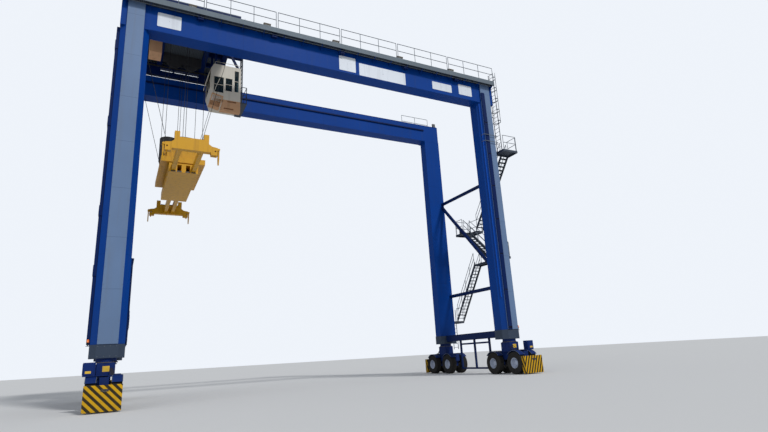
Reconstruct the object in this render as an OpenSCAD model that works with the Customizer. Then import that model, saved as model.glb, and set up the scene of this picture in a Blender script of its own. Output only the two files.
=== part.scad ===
// Rubber tyred gantry crane: a portal on four steered bogies, a hoisting
// trolley with a hanging cabin, and a telescopic container spreader.
// X runs across the span, Y along the direction of travel, Z up, and the
// ground under the middle of the whole outline is the origin.

/* [Portal] */
// Distance between the leg centre lines across the span
span = 23470; // [18000:10:28000]
// Distance between the leg centre lines along the travel
leg_pitch = 7500; // [7000:10:9000]
// Width of a leg across the span
leg_w = 1400; // [1200:10:1600]
// Depth of a leg along the travel
leg_d = 1000; // [900:10:1100]
// Height of the leg feet above ground
foot_z = 2200; // [2150:10:2300]
// Height of the leg foot casing
foot_h = 600; // [400:10:700]
// Height of the girder underside above ground
girder_z = 19270; // [17500:10:21000]
// Height of a girder
girder_h = 1470; // [1300:10:1700]
// Width of a girder web box
girder_w = 900; // [800:10:960]
// Thickness of the girder flange plates
flange_t = 30; // [20:1:40]
// Overhang of a flange plate past the web
flange_lip = 20; // [10:1:24]
// Girder end past the leg centre line
girder_over = 720; // [710:5:760]
// Width of the leg front cover
cover_w = 834; // [700:2:900]
// Depth of the leg front cover
cover_d = 50; // [30:1:80]
// Lip of the foot casing past the leg
leg_lip = 20; // [10:1:24]
// Depth of the cable duct on the near left leg
duct_d = 150; // [120:5:170]
// Collars that stand proud of the cable duct
duct_collar = 20; // [10:1:30]
// Heights of the duct collars
duct_collars = [5900, 8800, 13500, 17900];
// Depth of the cable tray on the near right leg
tray_d = 60; // [40:1:80]
// Inner edge of the cable tray from the leg centre line
tray_in = 115; // [80:5:150]

/* [Sides] */
// Height of a sill beam
sill_h = 450; // [350:10:600]
// Width of a sill beam
sill_w = 500; // [400:10:600]
// Underside of a sill beam above ground
sill_z = 2350; // [2300:10:2400]
// Radius of a brace tube
brace_r = 130; // [90:5:150]
// Brace plane outboard of the leg centre line
brace_x = 560; // [540:5:565]
// Height of the upper brace tube
brace_top_z = 13600; // [12500:10:15000]
// Height of the lower brace tube on the stair side
brace_low_z = 5850; // [5200:10:6400]
// Height of the lower brace tube over the electrical house
brace_high_z = 8300; // [8000:10:8800]
// Tube size of the guard under a sill
guard_t = 120; // [80:5:150]
// Length of the guard under a sill
guard_l = 3500; // [3000:10:3560]
// Ground clearance of the guard
guard_z = 300; // [200:10:500]
// Length of the electrical house
house_l = 5600; // [4000:10:6000]
// Width of the electrical house
house_w = 1600; // [1400:10:1640]
// Height of the electrical house
house_h = 4250; // [3000:10:4400]

/* [Walkways and stairs] */
// Height of the walkway deck frame
deck_t = 100; // [80:5:120]
// Width of the near walkway
walk_w = 660; // [560:10:700]
// Outer edge of the near walkway from the leg centre line
walk_out = 900; // [850:10:950]
// Height of a railing above its deck
rail_h = 1100; // [900:10:1200]
// Radius of a railing tube
rail_r = 21; // [16:1:28]
// Length of one railing segment
rail_seg = 3700; // [2500:10:4200]
// Height of the edge plate
kick_h = 180; // [120:5:220]
// Clear width of a stair flight
stair_w = 600; // [550:5:620]
// Inner edge of the stairs from the leg centre line
stair_x = 830; // [815:5:850]
// Gap between the two stair lanes
stair_gap = 60; // [50:5:80]
// Height of the bottom, first, second and top landing
landing_z = [3950, 8100, 10700, 15600];
// Height between treads
riser = 240; // [200:5:280]
// Depth of a tread
tread_d = 220; // [180:5:260]
// Thickness of a tread
tread_t = 30; // [20:1:40]
// Depth of a stair stringer
string_h = 220; // [180:5:260]
// Thickness of a stair stringer
string_t = 20; // [12:1:25]
// Foot and top of the three flights along the travel
flight_y = [3960, 950, -1600, 1150, 350, -3600];
// Length of the platform at the end of the far girder
far_deck_l = 2800; // [2500:10:3200]
// Floodlights from the span centre
lamp_x = [-8950, -4720, -270, 4430, 8660];
// Width of a floodlight
lamp_w = 420; // [350:5:480]
// Foot of the straight ladder above ground
ladder_low_z = 1750; // [1500:10:2200]
// Plane of the caged ladder past the girder end
ladder_gap = 165; // [150:5:180]

/* [Bogies] */
// Tyre radius
tyre_r = 690; // [620:5:720]
// Tyre width
tyre_w = 400; // [340:5:420]
// Rim radius
rim_r = 320; // [280:5:360]
// Inner face of a tyre from the bogie centre
tyre_in = 300; // [280:5:320]
// Distance between the two axles of a bogie
wheelbase = 2080; // [1900:10:2200]
// Axle radius
axle_r = 60; // [50:1:75]
// Running clearance in bearings and slides
run = 0.3; // [0.2:0.1:0.5]
// Length of the bogie main beam
bogie_l = 2900; // [2700:10:3000]
// Width of the bogie main beam
bogie_w = 360; // [300:10:380]
// Radius of the slewing ring under a leg
slew_r = 430; // [380:5:460]
// Width of the bumper plate
bumper_w = 1430; // [1200:10:1440]
// Height of the bumper plate
bumper_h = 1040; // [900:10:1100]
// Ground clearance of the bumper plate
bumper_z = 60; // [40:5:120]
// Front of the bumper from the bogie centre
bumper_out = 2050; // [2000:10:2150]
// Depth of the bumper side returns
bumper_d = 270; // [200:5:290]
// Outer side of the bogie cabinet from the bogie centre
bogie_box_x = 830; // [800:5:840]
// Length of the bogie cabinet across its face
bogie_box_w = 460; // [400:5:470]
// Front of the bogie cabinet from the bogie centre
bogie_box_y = 1300; // [1250:5:1340]
// Depth of the bogie cabinet
bogie_box_d = 400; // [300:5:450]
// Top of the bogie cabinet
bogie_box_top = 2030; // [1900:5:2060]
// Angle covered by a fender
fender_arc = 100; // [80:1:104]

/* [Trolley] */
// Trolley centre from the left leg centre at rest
trolley_gap = 2925; // [2875:10:20000]
// Rail gauge of the trolley
gauge = 7100; // [7000:10:7200]
// Height of the trolley rail
rail_top_h = 85; // [70:1:110]
// Lower sheave axles over the spreader's twistlock level
rope_low_h = 1660; // [1640:5:1680]
// Trolley frame end on the leg side
frame_left = 3000; // [2900:10:3100]
// Trolley frame end on the cabin side
frame_right = 2700; // [2650:10:2750]
// Radius of a trolley wheel
twheel_r = 250; // [220:5:260]
// Radius of a rope sheave at the bottom of its groove
sheave_r = 450; // [380:5:470]
// Sheave centres from the trolley centre across the span
sheave_x = 530; // [520:5:560]
// Sheave centres from the trolley centre along the travel
sheave_y = 1900; // [1700:10:2000]
// Rope radius
rope_r = 14; // [10:1:18]
// Cabin front from the trolley centre
cabin_front = 1450; // [1430:10:1500]
// Cabin back wall from the trolley centre
cabin_back = 3300; // [3200:10:3350]
// Cabin width along the travel
cabin_w = 2000; // [1800:10:2000]
// Cabin floor above ground
cabin_z = 17600; // [17400:10:17700]
// Cabin roof above ground
cabin_top = 20000; // [19800:10:20100]
// Cabin wall thickness
wall_t = 60; // [40:5:80]
// Underside of the wheel carriage above the rail
car_lift = 175; // [160:5:185]
// Half length of the see-through part of the trolley side
window_x = 1250; // [1000:10:1300]
// Inner cross beams from the trolley centre
well_x = 1200; // [1180:5:1220]
// Railing round the machinery from the centre line
deck_rail_y = 2200; // [2150:10:2250]
// Cabin hangers from the centre line
hanger_y = 850; // [800:5:900]
// Radius of the hoist drum
drum_r = 300; // [260:5:320]
// Length of the hoist drum
drum_l = 2600; // [2200:10:2800]
// Inner face of the hung cabinet from the trolley centre
cabinet_x = 1400; // [1380:5:1450]
// Side windows: start and end across the span, bottom and top over the floor
side_windows = [[1650, 2250, 430, 1530], [2350, 2780, 620, 1530],
    [2900, 3180, 640, 2150]];
// Thickness of the jacking pads under the sill beams
pad_t = 30; // [20:5:40]
// Drop of the service housing under the cabin
guard_drop = 740; // [600:10:760]
// Width of the service housing and its basket along the travel
guard_w = 320; // [250:10:400]
// Reach of the visor before the front window
visor_d = 130; // [80:5:140]
// Upper anchors of the slanted ropes from the trolley centre
slant_top_x = 2850; // [2750:10:2900]
// Lower anchors of the slanted ropes from the trolley centre
slant_low_x = 800; // [750:10:850]
// Slanted ropes from the centre line along the travel
slant_y = 2150; // [2100:10:2200]

/* [Spreader] */
// Spreader underside above ground at rest
spreader_z = 11690; // [9000:10:14000]
// Half length of the extended spreader
spread_y = 6090; // [6070:5:6110]
// Half width of the spreader ends
spread_x = 1220; // [1210:1:1225]
// Half length of the middle frame
mid_l = 2700; // [2600:10:2730]
// Half width of the middle frame
mid_w = 750; // [720:10:780]
// Width of a telescopic beam
beam_w = 200; // [180:5:210]
// Height of a telescopic beam
beam_h = 340; // [300:5:350]
// Telescopic beams of the near end, from the centre line
near_beam_x = 520; // [515:5:560]
// Telescopic beams of the far end, from the centre line
far_beam_x = 220; // [215:5:240]
// Side clearance of a telescopic beam
slide_gap = 6; // [5:1:10]
// Length of a corner flipper below its hinge
flip_l = 780; // [600:10:850]
// Height of the flipper hinge above the underside
flip_z = 330; // [300:10:400]
// Thickness of a flipper
flip_t = 60; // [40:5:70]
// Radius of the flipper hinge pin
pin_r = 25; // [20:1:30]
// Inner ends of the telescopic beams from the centre line at rest
beam_in = 1200; // [1150:10:1300]
// Half width of the headblock
head_x = 1150; // [1100:10:1200]
// Half length of the headblock
head_y = 2350; // [2300:10:2450]
// Radius of the cable basket
basket_r = 450; // [380:5:480]
// Height of the cable basket
basket_h = 1550; // [1300:10:1600]
// Basket centre from the trolley centre across the span
basket_x = 750; // [700:5:780]
// Basket centre from the trolley centre along the travel
basket_y = 1000; // [950:5:1050]

/* [Hidden] */

lane_w = stair_w + 2 * string_t;
// Reach of the outline past the leg centre lines on either side
left_out = leg_w / 2 + duct_d + duct_collar;
right_out = stair_x + 2 * lane_w + stair_gap;
mid_x = (left_out - right_out) / 2;
leg_x = [mid_x - span / 2, mid_x + span / 2];
leg_y = leg_pitch / 2;
girder_top = girder_z + girder_h;
flange_w = girder_w + 2 * flange_lip;
chamfer = (leg_w - cover_w) / 2;
walk_y = leg_y + walk_out;
walk_z = girder_top + deck_t;
walk_l = span + 2 * girder_over;
rail_top = girder_top + rail_top_h;
side_gap_y = leg_y - leg_d / 2;
tx = leg_x[0] + trolley_gap;
steel_blue = [0.02, 0.2, 0.55];
dark_blue = [0.02, 0.1, 0.32];
zinc = [0.6, 0.64, 0.68];
spreader_yellow = [0.9, 0.68, 0.08];
cream = [0.85, 0.82, 0.75];

// A straight bar of radius r from p to q
module bar(p, q, r, n = 8) {
    v = q - p;
    translate(p)
        rotate([0, acos(v.z / norm(v)), atan2(v.y, v.x)])
            cylinder(h = norm(v), r = r, $fn = n);
}

// A box given by its lowest corner and its highest corner
module block(a, b) {
    translate(a) cube(b - a);
}

// Places a near left corner piece at one of the four corners
module corner(right, far) {
    translate([leg_x[right], (far == 0 ? -1 : 1) * leg_y, 0])
        mirror([right, 0, 0]) mirror([0, far, 0]) children();
}

// Plan of a leg: a box whose two outward corners are cut at 45 degrees
module leg_plan(grow = 0) {
    w = leg_w / 2 + grow;
    d = leg_d / 2 + grow;
    polygon([[-w, d], [-w, chamfer - d], [chamfer - w, -d],
        [w - chamfer, -d], [w, chamfer - d], [w, d]]);
}

module leg(right, far) {
    color(steel_blue) corner(right, far) {
        translate([0, 0, foot_z + foot_h])
            linear_extrude(girder_z - foot_z - foot_h) leg_plan();
        translate([0, 0, foot_z]) linear_extrude(foot_h) leg_plan(leg_lip);
        translate([0, 0, girder_z - flange_t])
            linear_extrude(flange_t)
                square([leg_w + 2 * leg_lip, leg_d - 2 * leg_lip], center = true);
    }
}
module near_left_leg() { leg(0, 0); }
module near_right_leg() { leg(1, 0); }
module far_left_leg() { leg(0, 1); }
module far_right_leg() { leg(1, 1); }

// One girder: a welded box with lips on its flange plates and end plates
module girder(far) {
    color(steel_blue)
        translate([mid_x, (far == 0 ? -1 : 1) * leg_y, girder_z]) {
            rotate([90, 0, 90])
                linear_extrude(walk_l, center = true)
                    polygon([[-flange_w / 2, 0], [flange_w / 2, 0],
                        [flange_w / 2, flange_t], [girder_w / 2, flange_t],
                        [girder_w / 2, girder_h - flange_t],
                        [flange_w / 2, girder_h - flange_t],
                        [flange_w / 2, girder_h], [-flange_w / 2, girder_h],
                        [-flange_w / 2, girder_h - flange_t],
                        [-girder_w / 2, girder_h - flange_t],
                        [-girder_w / 2, flange_t], [-flange_w / 2, flange_t]]);
        }
}
module near_girder() { girder(0); }
module far_girder() { girder(1); }

// Flat covers that run up the outward face of each leg past the girder
module leg_covers() {
    color(zinc)
        for (right = [0, 1], far = [0, 1])
            corner(right, far)
                block([-cover_w / 2, -leg_d / 2 - cover_d, foot_z + foot_h],
                    [cover_w / 2, -leg_d / 2, girder_top]);
}

// Sill beam between the two feet of one side, with a jacking pad at each end
pad_y = leg_y - leg_d / 2 - leg_lip - 200;
module sill(right) {
    color(steel_blue) {
        for (s = [-1, 1])
            block([leg_x[right] - 150, s * pad_y - 150, sill_z - pad_t],
                [leg_x[right] + 150, s * pad_y + 150, sill_z]);
        translate([leg_x[right], 0, sill_z])
            rotate([90, 0, 0])
                linear_extrude(2 * (side_gap_y - leg_lip), center = true)
                    difference() {
                        translate([-sill_w / 2, 0]) square([sill_w, sill_h]);
                        for (s = [-1, 1])
                            translate([s * sill_w / 2, sill_h / 2])
                                square([2 * flange_lip, sill_h - 2 * flange_t],
                                    center = true);
                    }
    }
}
module left_sill() { sill(0); }
module right_sill() { sill(1); }

// Upper tube, diagonal and lower tube between the two legs of one side
module side_braces(right, low_z) {
    s = right == 0 ? -1 : 1;
    x = leg_x[right] + s * brace_x;
    y = side_gap_y;
    step = 2 * brace_r + 60;
    color(dark_blue) intersection() {
        union() {
            bar([x, -y - 200, brace_top_z], [x, y + 200, brace_top_z], brace_r, 32);
            bar([x, -y - 200, low_z], [x, y + 200, low_z], brace_r, 32);
            bar([x, -y - 200, low_z + step - 200],
                [x, y + 200, brace_top_z - step + 200], brace_r, 32);
        }
        translate([x, 0, girder_z / 2])
            cube([4 * brace_r, 2 * y, girder_z], center = true);
    }
}
module left_braces() { side_braces(0, brace_high_z); }
module right_braces() { side_braces(1, brace_low_z); }

// Rail section on each girder and the buffer blocks at its ends
module trolley_rails() {
    color([0.35, 0.33, 0.32])
        for (s = [-1, 1]) {
            translate([mid_x, s * gauge / 2, girder_top])
                rotate([90, 0, 90])
                    linear_extrude(walk_l - 600, center = true)
                        polygon([[-75, 0], [75, 0], [75, 12], [20, 26],
                            [20, rail_top_h - 34], [37, rail_top_h - 26],
                            [37, rail_top_h - 4], [33, rail_top_h],
                            [-33, rail_top_h], [-37, rail_top_h - 4],
                            [-37, rail_top_h - 26], [-20, rail_top_h - 34],
                            [-20, 26], [-75, 12]]);
            for (e = [-1, 1])
                translate([mid_x + e * (walk_l / 2 - 160), s * gauge / 2,
                    girder_top]) {
                    translate([-130, -120, 0]) cube([260, 240, 160]);
                    translate([-130, -60, 160]) cube([260, 120, 280]);
                }
        }
}

// Deck on cross bearers with an edge channel and a kick plate
module deck(x0, x1, y0, y1) {
    n = ceil((x1 - x0) / 1850);
    block([x0, y0, walk_z - 40], [x1, y1, walk_z]);
    for (i = [0:n]) {
        x = x0 + 60 + i * (x1 - x0 - 120) / n;
        block([x - 40, y0, girder_top], [x + 40, y1, walk_z - 40]);
    }
    block([x0, y0, girder_top - 50], [x1, y0 + 40, walk_z + kick_h]);
}
module near_walkway() {
    color(zinc) deck(mid_x - walk_l / 2, mid_x + walk_l / 2, -walk_y,
        walk_w - walk_y);
}
module far_platform() {
    color(zinc) mirror([0, 1, 0])
        deck(mid_x + walk_l / 2 - far_deck_l, mid_x + walk_l / 2, -walk_y,
            walk_w - walk_y);
}

// One plane of railing from a to b: two rails and evenly spaced posts
module railing(a, b, h = rail_h, pitch = 1900) {
    run_l = norm(b - a);
    n = max(1, ceil(run_l / pitch));
    up = [0, 0, 1];
    bar(a + h * up, b + h * up, rail_r);
    bar(a + h / 2 * up, b + h / 2 * up, rail_r);
    for (i = [0:n]) {
        p = a + (b - a) * i / n;
        bar(p, p + h * up, rail_r - 3);
    }
}
module walkway_railings() {
    n = floor(walk_l / rail_seg);
    x0 = mid_x - walk_l / 2;
    seg = walk_l / n;
    z = walk_z + kick_h;
    color(zinc) {
        for (i = [0:n - 1])
            railing([x0 + i * seg + 60, -walk_y + 20, z],
                [x0 + (i + 1) * seg - 60, -walk_y + 20, z]);
        railing([x0 + walk_l - far_deck_l + 60, walk_y - 20, z],
            [x0 + walk_l - 60, walk_y - 20, z]);
    }
}

// Floodlight boxes tilted down over the walkway edge, each on a bracket
module floodlights() {
    color([0.5, 0.45, 0.4])
        for (x = lamp_x)
            translate([mid_x + x, -walk_y + 235, walk_z]) {
                translate([-30, -20, 0]) cube([60, 40, 230]);
                translate([0, 0, 330]) rotate([25, 0, 0])
                    difference() {
                        cube([lamp_w, 200, 260], center = true);
                        translate([0, -80, -20])
                            cube([lamp_w - 60, 80, 160], center = true);
                    }
            }
}

// Start and end of each flight along the travel, lower end first, with its lane
flights = [
    [landing_z[0], landing_z[1], flight_y[0], flight_y[1], 1],
    [landing_z[1], landing_z[2], flight_y[2], flight_y[3], 0],
    [landing_z[2], landing_z[3], flight_y[4], flight_y[5], 1]];
function lane_x(lane) = leg_x[1] + stair_x + lane * (lane_w + stair_gap);

// Treads of all flights, each one a plate between its stringers
module stair_treads() {
    color(zinc)
        for (f = flights) {
            n = ceil((f[1] - f[0]) / riser) - 1;
            for (i = [1:n]) {
                y = f[2] + (f[3] - f[2]) * i / (n + 1);
                z = f[0] + (f[1] - f[0]) * i / (n + 1);
                block([lane_x(f[4]) + string_t, y - tread_d / 2, z - tread_t],
                    [lane_x(f[4]) + string_t + stair_w, y + tread_d / 2, z]);
            }
        }
}

// A stringer plate in a YZ plane, level cut at both landings
module stringer(f, x) {
    d = string_h;
    translate([x, 0, 0])
        rotate([90, 0, 90])
            linear_extrude(string_t)
                intersection() {
                    polygon([[f[2], f[0] - d / 2], [f[2], f[0] + d],
                        [f[3], f[1] + d], [f[3], f[1] - d / 2]]);
                    translate([min(f[2], f[3]), f[0] - 100])
                        square([abs(f[3] - f[2]), f[1] - f[0] + 100 + d]);
                }
}

// A landing: deck plate on an edge frame
module landing(x0, x1, y0, y1, z) {
    block([x0, y0, z - 40], [x1, y1, z]);
    block([x0, y0, z - 160], [x1, y0 + 40, z - 40]);
    block([x0, y1 - 40, z - 160], [x1, y1, z - 40]);
    block([x0, y0 + 40, z - 160], [x0 + 40, y1 - 40, z - 40]);
    block([x1 - 40, y0 + 40, z - 160], [x1, y1 - 40, z - 40]);
}
module stair_frames() {
    xi = lane_x(0);
    xo = lane_x(1);
    xe = xo + lane_w;
    xl = leg_x[1] + leg_w / 2;
    xb = leg_x[1] + brace_x;
    color(zinc) {
        for (f = flights, k = [0, 1])
            stringer(f, lane_x(f[4]) + k * (lane_w - string_t));
        // bottom landing, on beams off the far leg
        landing(xi, xe, flight_y[0], flight_y[0] + 950, landing_z[0]);
        block([xl, leg_y - 100, landing_z[0] - 160],
            [xi + 60, leg_y + 100, landing_z[0] - 60]);
        block([xi, leg_y + 100, landing_z[0] - 160],
            [xi + 60, flight_y[0], landing_z[0] - 60]);
        // first landing reaches past the foot of the second flight
        landing(xo, xe, flight_y[2] - 900, flight_y[1], landing_z[1]);
        landing(xi, xo, flight_y[2] - 900, flight_y[2], landing_z[1]);
        // second landing
        landing(xi, xo, flight_y[3], flight_y[3] + 1000, landing_z[2]);
        landing(xo, xe, flight_y[4], flight_y[3] + 1000, landing_z[2]);
        // brackets that reach the diagonal tube of the right side
        difference() {
            union() {
                block([xb, flight_y[2] - 160, landing_z[1] - 160],
                    [xi, flight_y[2] - 60, landing_z[1] - 60]);
                block([xb, flight_y[3] + 20, landing_z[2] - 160],
                    [xi, flight_y[3] + 120, landing_z[2] + 260]);
            }
            right_braces();
        }
        // top platform beside the near leg, with a bracket onto the leg
        landing(xi, xe, flight_y[5] - 1000, flight_y[5], landing_z[3]);
        block([xl, flight_y[5] - 300, landing_z[3] - 160],
            [xi, flight_y[5] - 100, landing_z[3] - 60]);
        // straight ladder below the bottom landing
        for (x = [xe - 550, xe - 120])
            block([x, flight_y[0] + 950, ladder_low_z],
                [x + 20, flight_y[0] + 1010, landing_z[0] + 1000]);
        for (i = [1:floor((landing_z[0] - ladder_low_z) / 300)])
            bar([xe - 540, flight_y[0] + 980, ladder_low_z + i * 300 - 150],
                [xe - 110, flight_y[0] + 980, ladder_low_z + i * 300 - 150], 14);
    }
}
module stair_railings() {
    r = rail_r;
    xi = lane_x(0) + r;
    xe = lane_x(1) + lane_w - r;
    z = landing_z;
    y = flight_y;
    color(zinc) difference() {
        union() {
            for (f = flights, k = [0, 1]) {
                x = lane_x(f[4]) + (k == 0 ? r : lane_w - r);
                rise = (f[1] - f[0]) / (f[3] - f[2]);
                ya = f[2] + sign(f[3] - f[2]) * 120;
                yb = f[3] - sign(f[3] - f[2]) * 120;
                railing([x, ya, f[0] + string_h + rise * (ya - f[2])],
                    [x, yb, f[0] + string_h + rise * (yb - f[2])],
                    rail_h - string_h, 1500);
            }
            railing([xi, y[0] + 60, z[0]], [xi, y[0] + 890, z[0]]);
            railing([xe, y[0] + 60, z[0]], [xe, y[0] + 890, z[0]]);
            railing([xe, y[2] - 840, z[1]], [xe, y[1] - 60, z[1]]);
            railing([xi + 80, y[2] - 870, z[1]], [xe - 80, y[2] - 870, z[1]]);
            railing([xe, y[4] + 60, z[2]], [xe, y[3] + 940, z[2]]);
            railing([xi, y[3] + 60, z[2]], [xi, y[3] + 940, z[2]]);
            railing([xi + 80, y[3] + 970, z[2]], [xe - 80, y[3] + 970, z[2]]);
            railing([xe, y[5] - 940, z[3]], [xe, y[5] - 60, z[3]]);
            railing([xi + 80, y[5] - 970, z[3]], [xe - 80, y[5] - 970, z[3]]);
        }
        for (f = flights, k = [0, 1])
            stringer(f, lane_x(f[4]) + k * (lane_w - string_t));
    }
}

// Vertical ladder with safety hoops from the top platform to the walkway
module caged_ladder() {
    x = leg_x[1] + girder_over + ladder_gap;
    y = flight_y[5] - 550;
    top = walk_z + rail_h;
    z0 = landing_z[3];
    n = floor((top - z0) / 300);
    color(zinc) {
        for (s = [-1, 1]) {
            block([x - 25, y + s * 250 - 12, z0], [x + 25, y + s * 250 + 12, top]);
        }
        // stand-off brackets onto the leg, the girder end and the walkway
        for (z = [z0 + 1200, girder_z - 900])
            block([leg_x[1] + leg_w / 2, y + 238, z], [x, y + 262, z + 60]);
        block([leg_x[1] + girder_over, y + 238, girder_top - 300],
            [x, y + 262, girder_top - 240]);
        block([leg_x[1] + girder_over, y - 262, walk_z - 40], [x, y - 238, walk_z]);
        for (i = [1:n])
            bar([x, y - 250, z0 + i * 300 - 20], [x, y + 250, z0 + i * 300 - 20], 14);
        for (z = [z0 + 2300:900:top])
            translate([x, y, z]) {
                rotate([0, 0, -90]) rotate_extrude(angle = 180, $fn = 32)
                    translate([345, 0]) square([10, 60]);
                for (s = [-1, 1])
                    block([-15, s * 255 - (s < 0 ? 100 : 0), 0],
                        [15, s * 255 + (s > 0 ? 100 : 0), 60]);
            }
        for (a = [-60, -20, 20, 60])
            translate([x + 350 * cos(a), y + 350 * sin(a), z0 + 2300])
                cylinder(h = top - z0 - 2300, r = 12, $fn = 6);
    }
}

// Closed machine housing on cross bearers over the left sill
module electrical_house() {
    z0 = sill_z + sill_h;
    zb = z0 + 150;
    x = leg_x[0];
    w = house_w / 2;
    l = house_l / 2;
    color(dark_blue) {
        for (y = [-l + 300, -l / 3, l / 3, l - 300])
            block([x - w, y - 75, z0], [x + w, y + 75, zb]);
        block([x - w, -l, zb], [x + w, l, z0 + house_h - 120]);
        translate([x, 0, z0 + house_h - 120]) rotate([90, 0, 0])
            linear_extrude(2 * l + 60, center = true)
                polygon([[-w - 30, 0], [w + 30, 0], [w + 30, 60], [0, 120],
                    [-w - 30, 60]]);
        // door leaves and louvre boxes stand proud of the long side
        for (y = [-l + 500, -l + 1600, 300, 1400])
            block([x - w - 25, y, zb + 120], [x - w, y + 900, z0 + house_h - 420]);
        for (y = [-l + 500, 300])
            block([x + w, y, zb + 600], [x + w + 25, y + 1400, zb + 1500]);
    }
}

// Open rectangular guard with a middle post under each sill
module sill_guards() {
    color(dark_blue)
        for (x = leg_x) {
            block([x - guard_t / 2, -guard_l / 2, guard_z],
                [x + guard_t / 2, guard_l / 2, guard_z + guard_t]);
            block([x - guard_t / 2, -guard_l / 2, sill_z - 200 - guard_t],
                [x + guard_t / 2, guard_l / 2, sill_z - 200]);
            for (y = [-guard_l / 2, -guard_t / 2, guard_l / 2 - guard_t])
                block([x - guard_t / 2, y, guard_z],
                    [x + guard_t / 2, y + guard_t, sill_z]);
        }
}

// Duct with collars on the near left leg, cable tray on the near right leg
module cable_ducts() {
    w = leg_w / 2;
    color(dark_blue) {
        corner(0, 0) {
            block([-w - duct_d, -150, foot_z + foot_h + leg_lip],
                [-w, 250, girder_z - flange_t - 20]);
            for (z = duct_collars)
                block([-w - duct_d - duct_collar, -190, z],
                    [-w, 290, z + 500]);
        }
        translate([leg_x[1], -leg_y - leg_d / 2 - cover_d, 0])
            difference() {
                block([-cover_w / 2, -tray_d, foot_z + foot_h],
                    [-tray_in, 0, girder_z + girder_h / 2]);
                block([-cover_w / 2 + 20, -tray_d - 1, foot_z + foot_h - 1],
                    [-tray_in - 20, -20, girder_z + girder_h / 2 + 1]);
            }
    }
}

// Heights of the trolley frame: carriage beams, posts, upper beams, deck
car_z0 = rail_top + car_lift;
car_z1 = car_z0 + 350;
beam_z0 = car_z1 + 200;
beam_z1 = beam_z0 + 300;

// One trolley side: wheel carriage, window posts and upper beam
module trolley_side() {
    w = 150;
    y = gauge / 2;
    block([tx - frame_left, y - w, car_z0], [tx + frame_right, y + w, car_z1]);
    block([tx - frame_left, y - w, car_z1],
        [tx - window_x, y + w, beam_z0]);
    block([tx + window_x, y - w, car_z1], [tx + frame_right, y + w, beam_z0]);
    for (x = [-window_x / 3, window_x / 3])
        block([tx + x - 50, y - w / 2, car_z1], [tx + x + 50, y + w / 2, beam_z0]);
    block([tx - frame_left, y - w, beam_z0], [tx + frame_right, y + w, beam_z1]);
    for (x = [-frame_left + 450, frame_right - 450])
        translate([tx + x, y, rail_top + twheel_r + run])
            rotate([90, 0, 0]) cylinder(h = 130, r = twheel_r, center = true, $fn = 64);
}
module trolley_frame() {
    y = gauge / 2 - 150;
    color(dark_blue) {
        for (s = [0, 1]) mirror([0, s, 0]) trolley_side();
        // cross beams under the deck, two of them beside the hoist well
        for (x = [-frame_left, -well_x - 300, well_x, frame_right - 300])
            block([tx + x, -y, beam_z0], [tx + x + 300, y, beam_z1]);
        // cabin beams and hanger posts
        for (s = [-1, 1]) {
            block([tx + well_x + 300, s * hanger_y - 60, beam_z0],
                [tx + frame_right - 300, s * hanger_y + 60, beam_z1]);
            block([tx + cabin_front + 240, s * hanger_y - 60, cabin_top],
                [tx + cabin_front + 360, s * hanger_y + 60, beam_z0]);
            // slanted strut to the back of the cabin roof
            translate([tx, s * hanger_y, 0]) rotate([90, 0, 0])
                linear_extrude(120, center = true)
                    polygon([[cabin_back - 210, cabin_top], [cabin_back - 60, cabin_top],
                        [frame_right - 300, beam_z0], [frame_right - 450, beam_z0]]);
            // anchor beams and lugs of the slanted ropes
            for (x = [-frame_left + 300, well_x + 300])
                block([tx + x, s * slant_y - 60, beam_z0],
                    [tx + (x < 0 ? -well_x - 300 : frame_right - 300),
                        s * slant_y + 60, beam_z1]);
            for (x = [-slant_top_x, frame_right - 150])
                block([tx + x - 50, s * slant_y - 40, upper_sheave_z + (x < 0 ? 4 : 3.4)],
                    [tx + x + 50, s * slant_y + 40, beam_z0]);
        }
        // short catwalk that the ladder behind the cabin ends at
        block([tx + frame_right - 1, 100, beam_z1 - 80],
            [tx + cabin_back + 420, 900, beam_z1]);
    }
}

// Deck plate over the whole trolley frame
module trolley_deck() {
    y = gauge / 2 + 150;
    color(zinc)
        block([tx - frame_left, -y, beam_z1], [tx + frame_right, y, beam_z1 + deck_t / 2]);
}

// Railing round the machinery on the trolley deck
module trolley_railings() {
    y = deck_rail_y;
    x0 = tx - frame_left;
    x1 = tx + frame_right;
    z = beam_z1 + deck_t / 2;
    e = rail_r + 5;
    color(zinc) {
        for (s = [-1, 1])
            railing([x0 + 60, s * y, z], [x1 - 60, s * y, z]);
        for (x = [x0 + e, x1 - e])
            railing([x, 60 - y, z], [x, y - 60, z]);
    }
}

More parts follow.
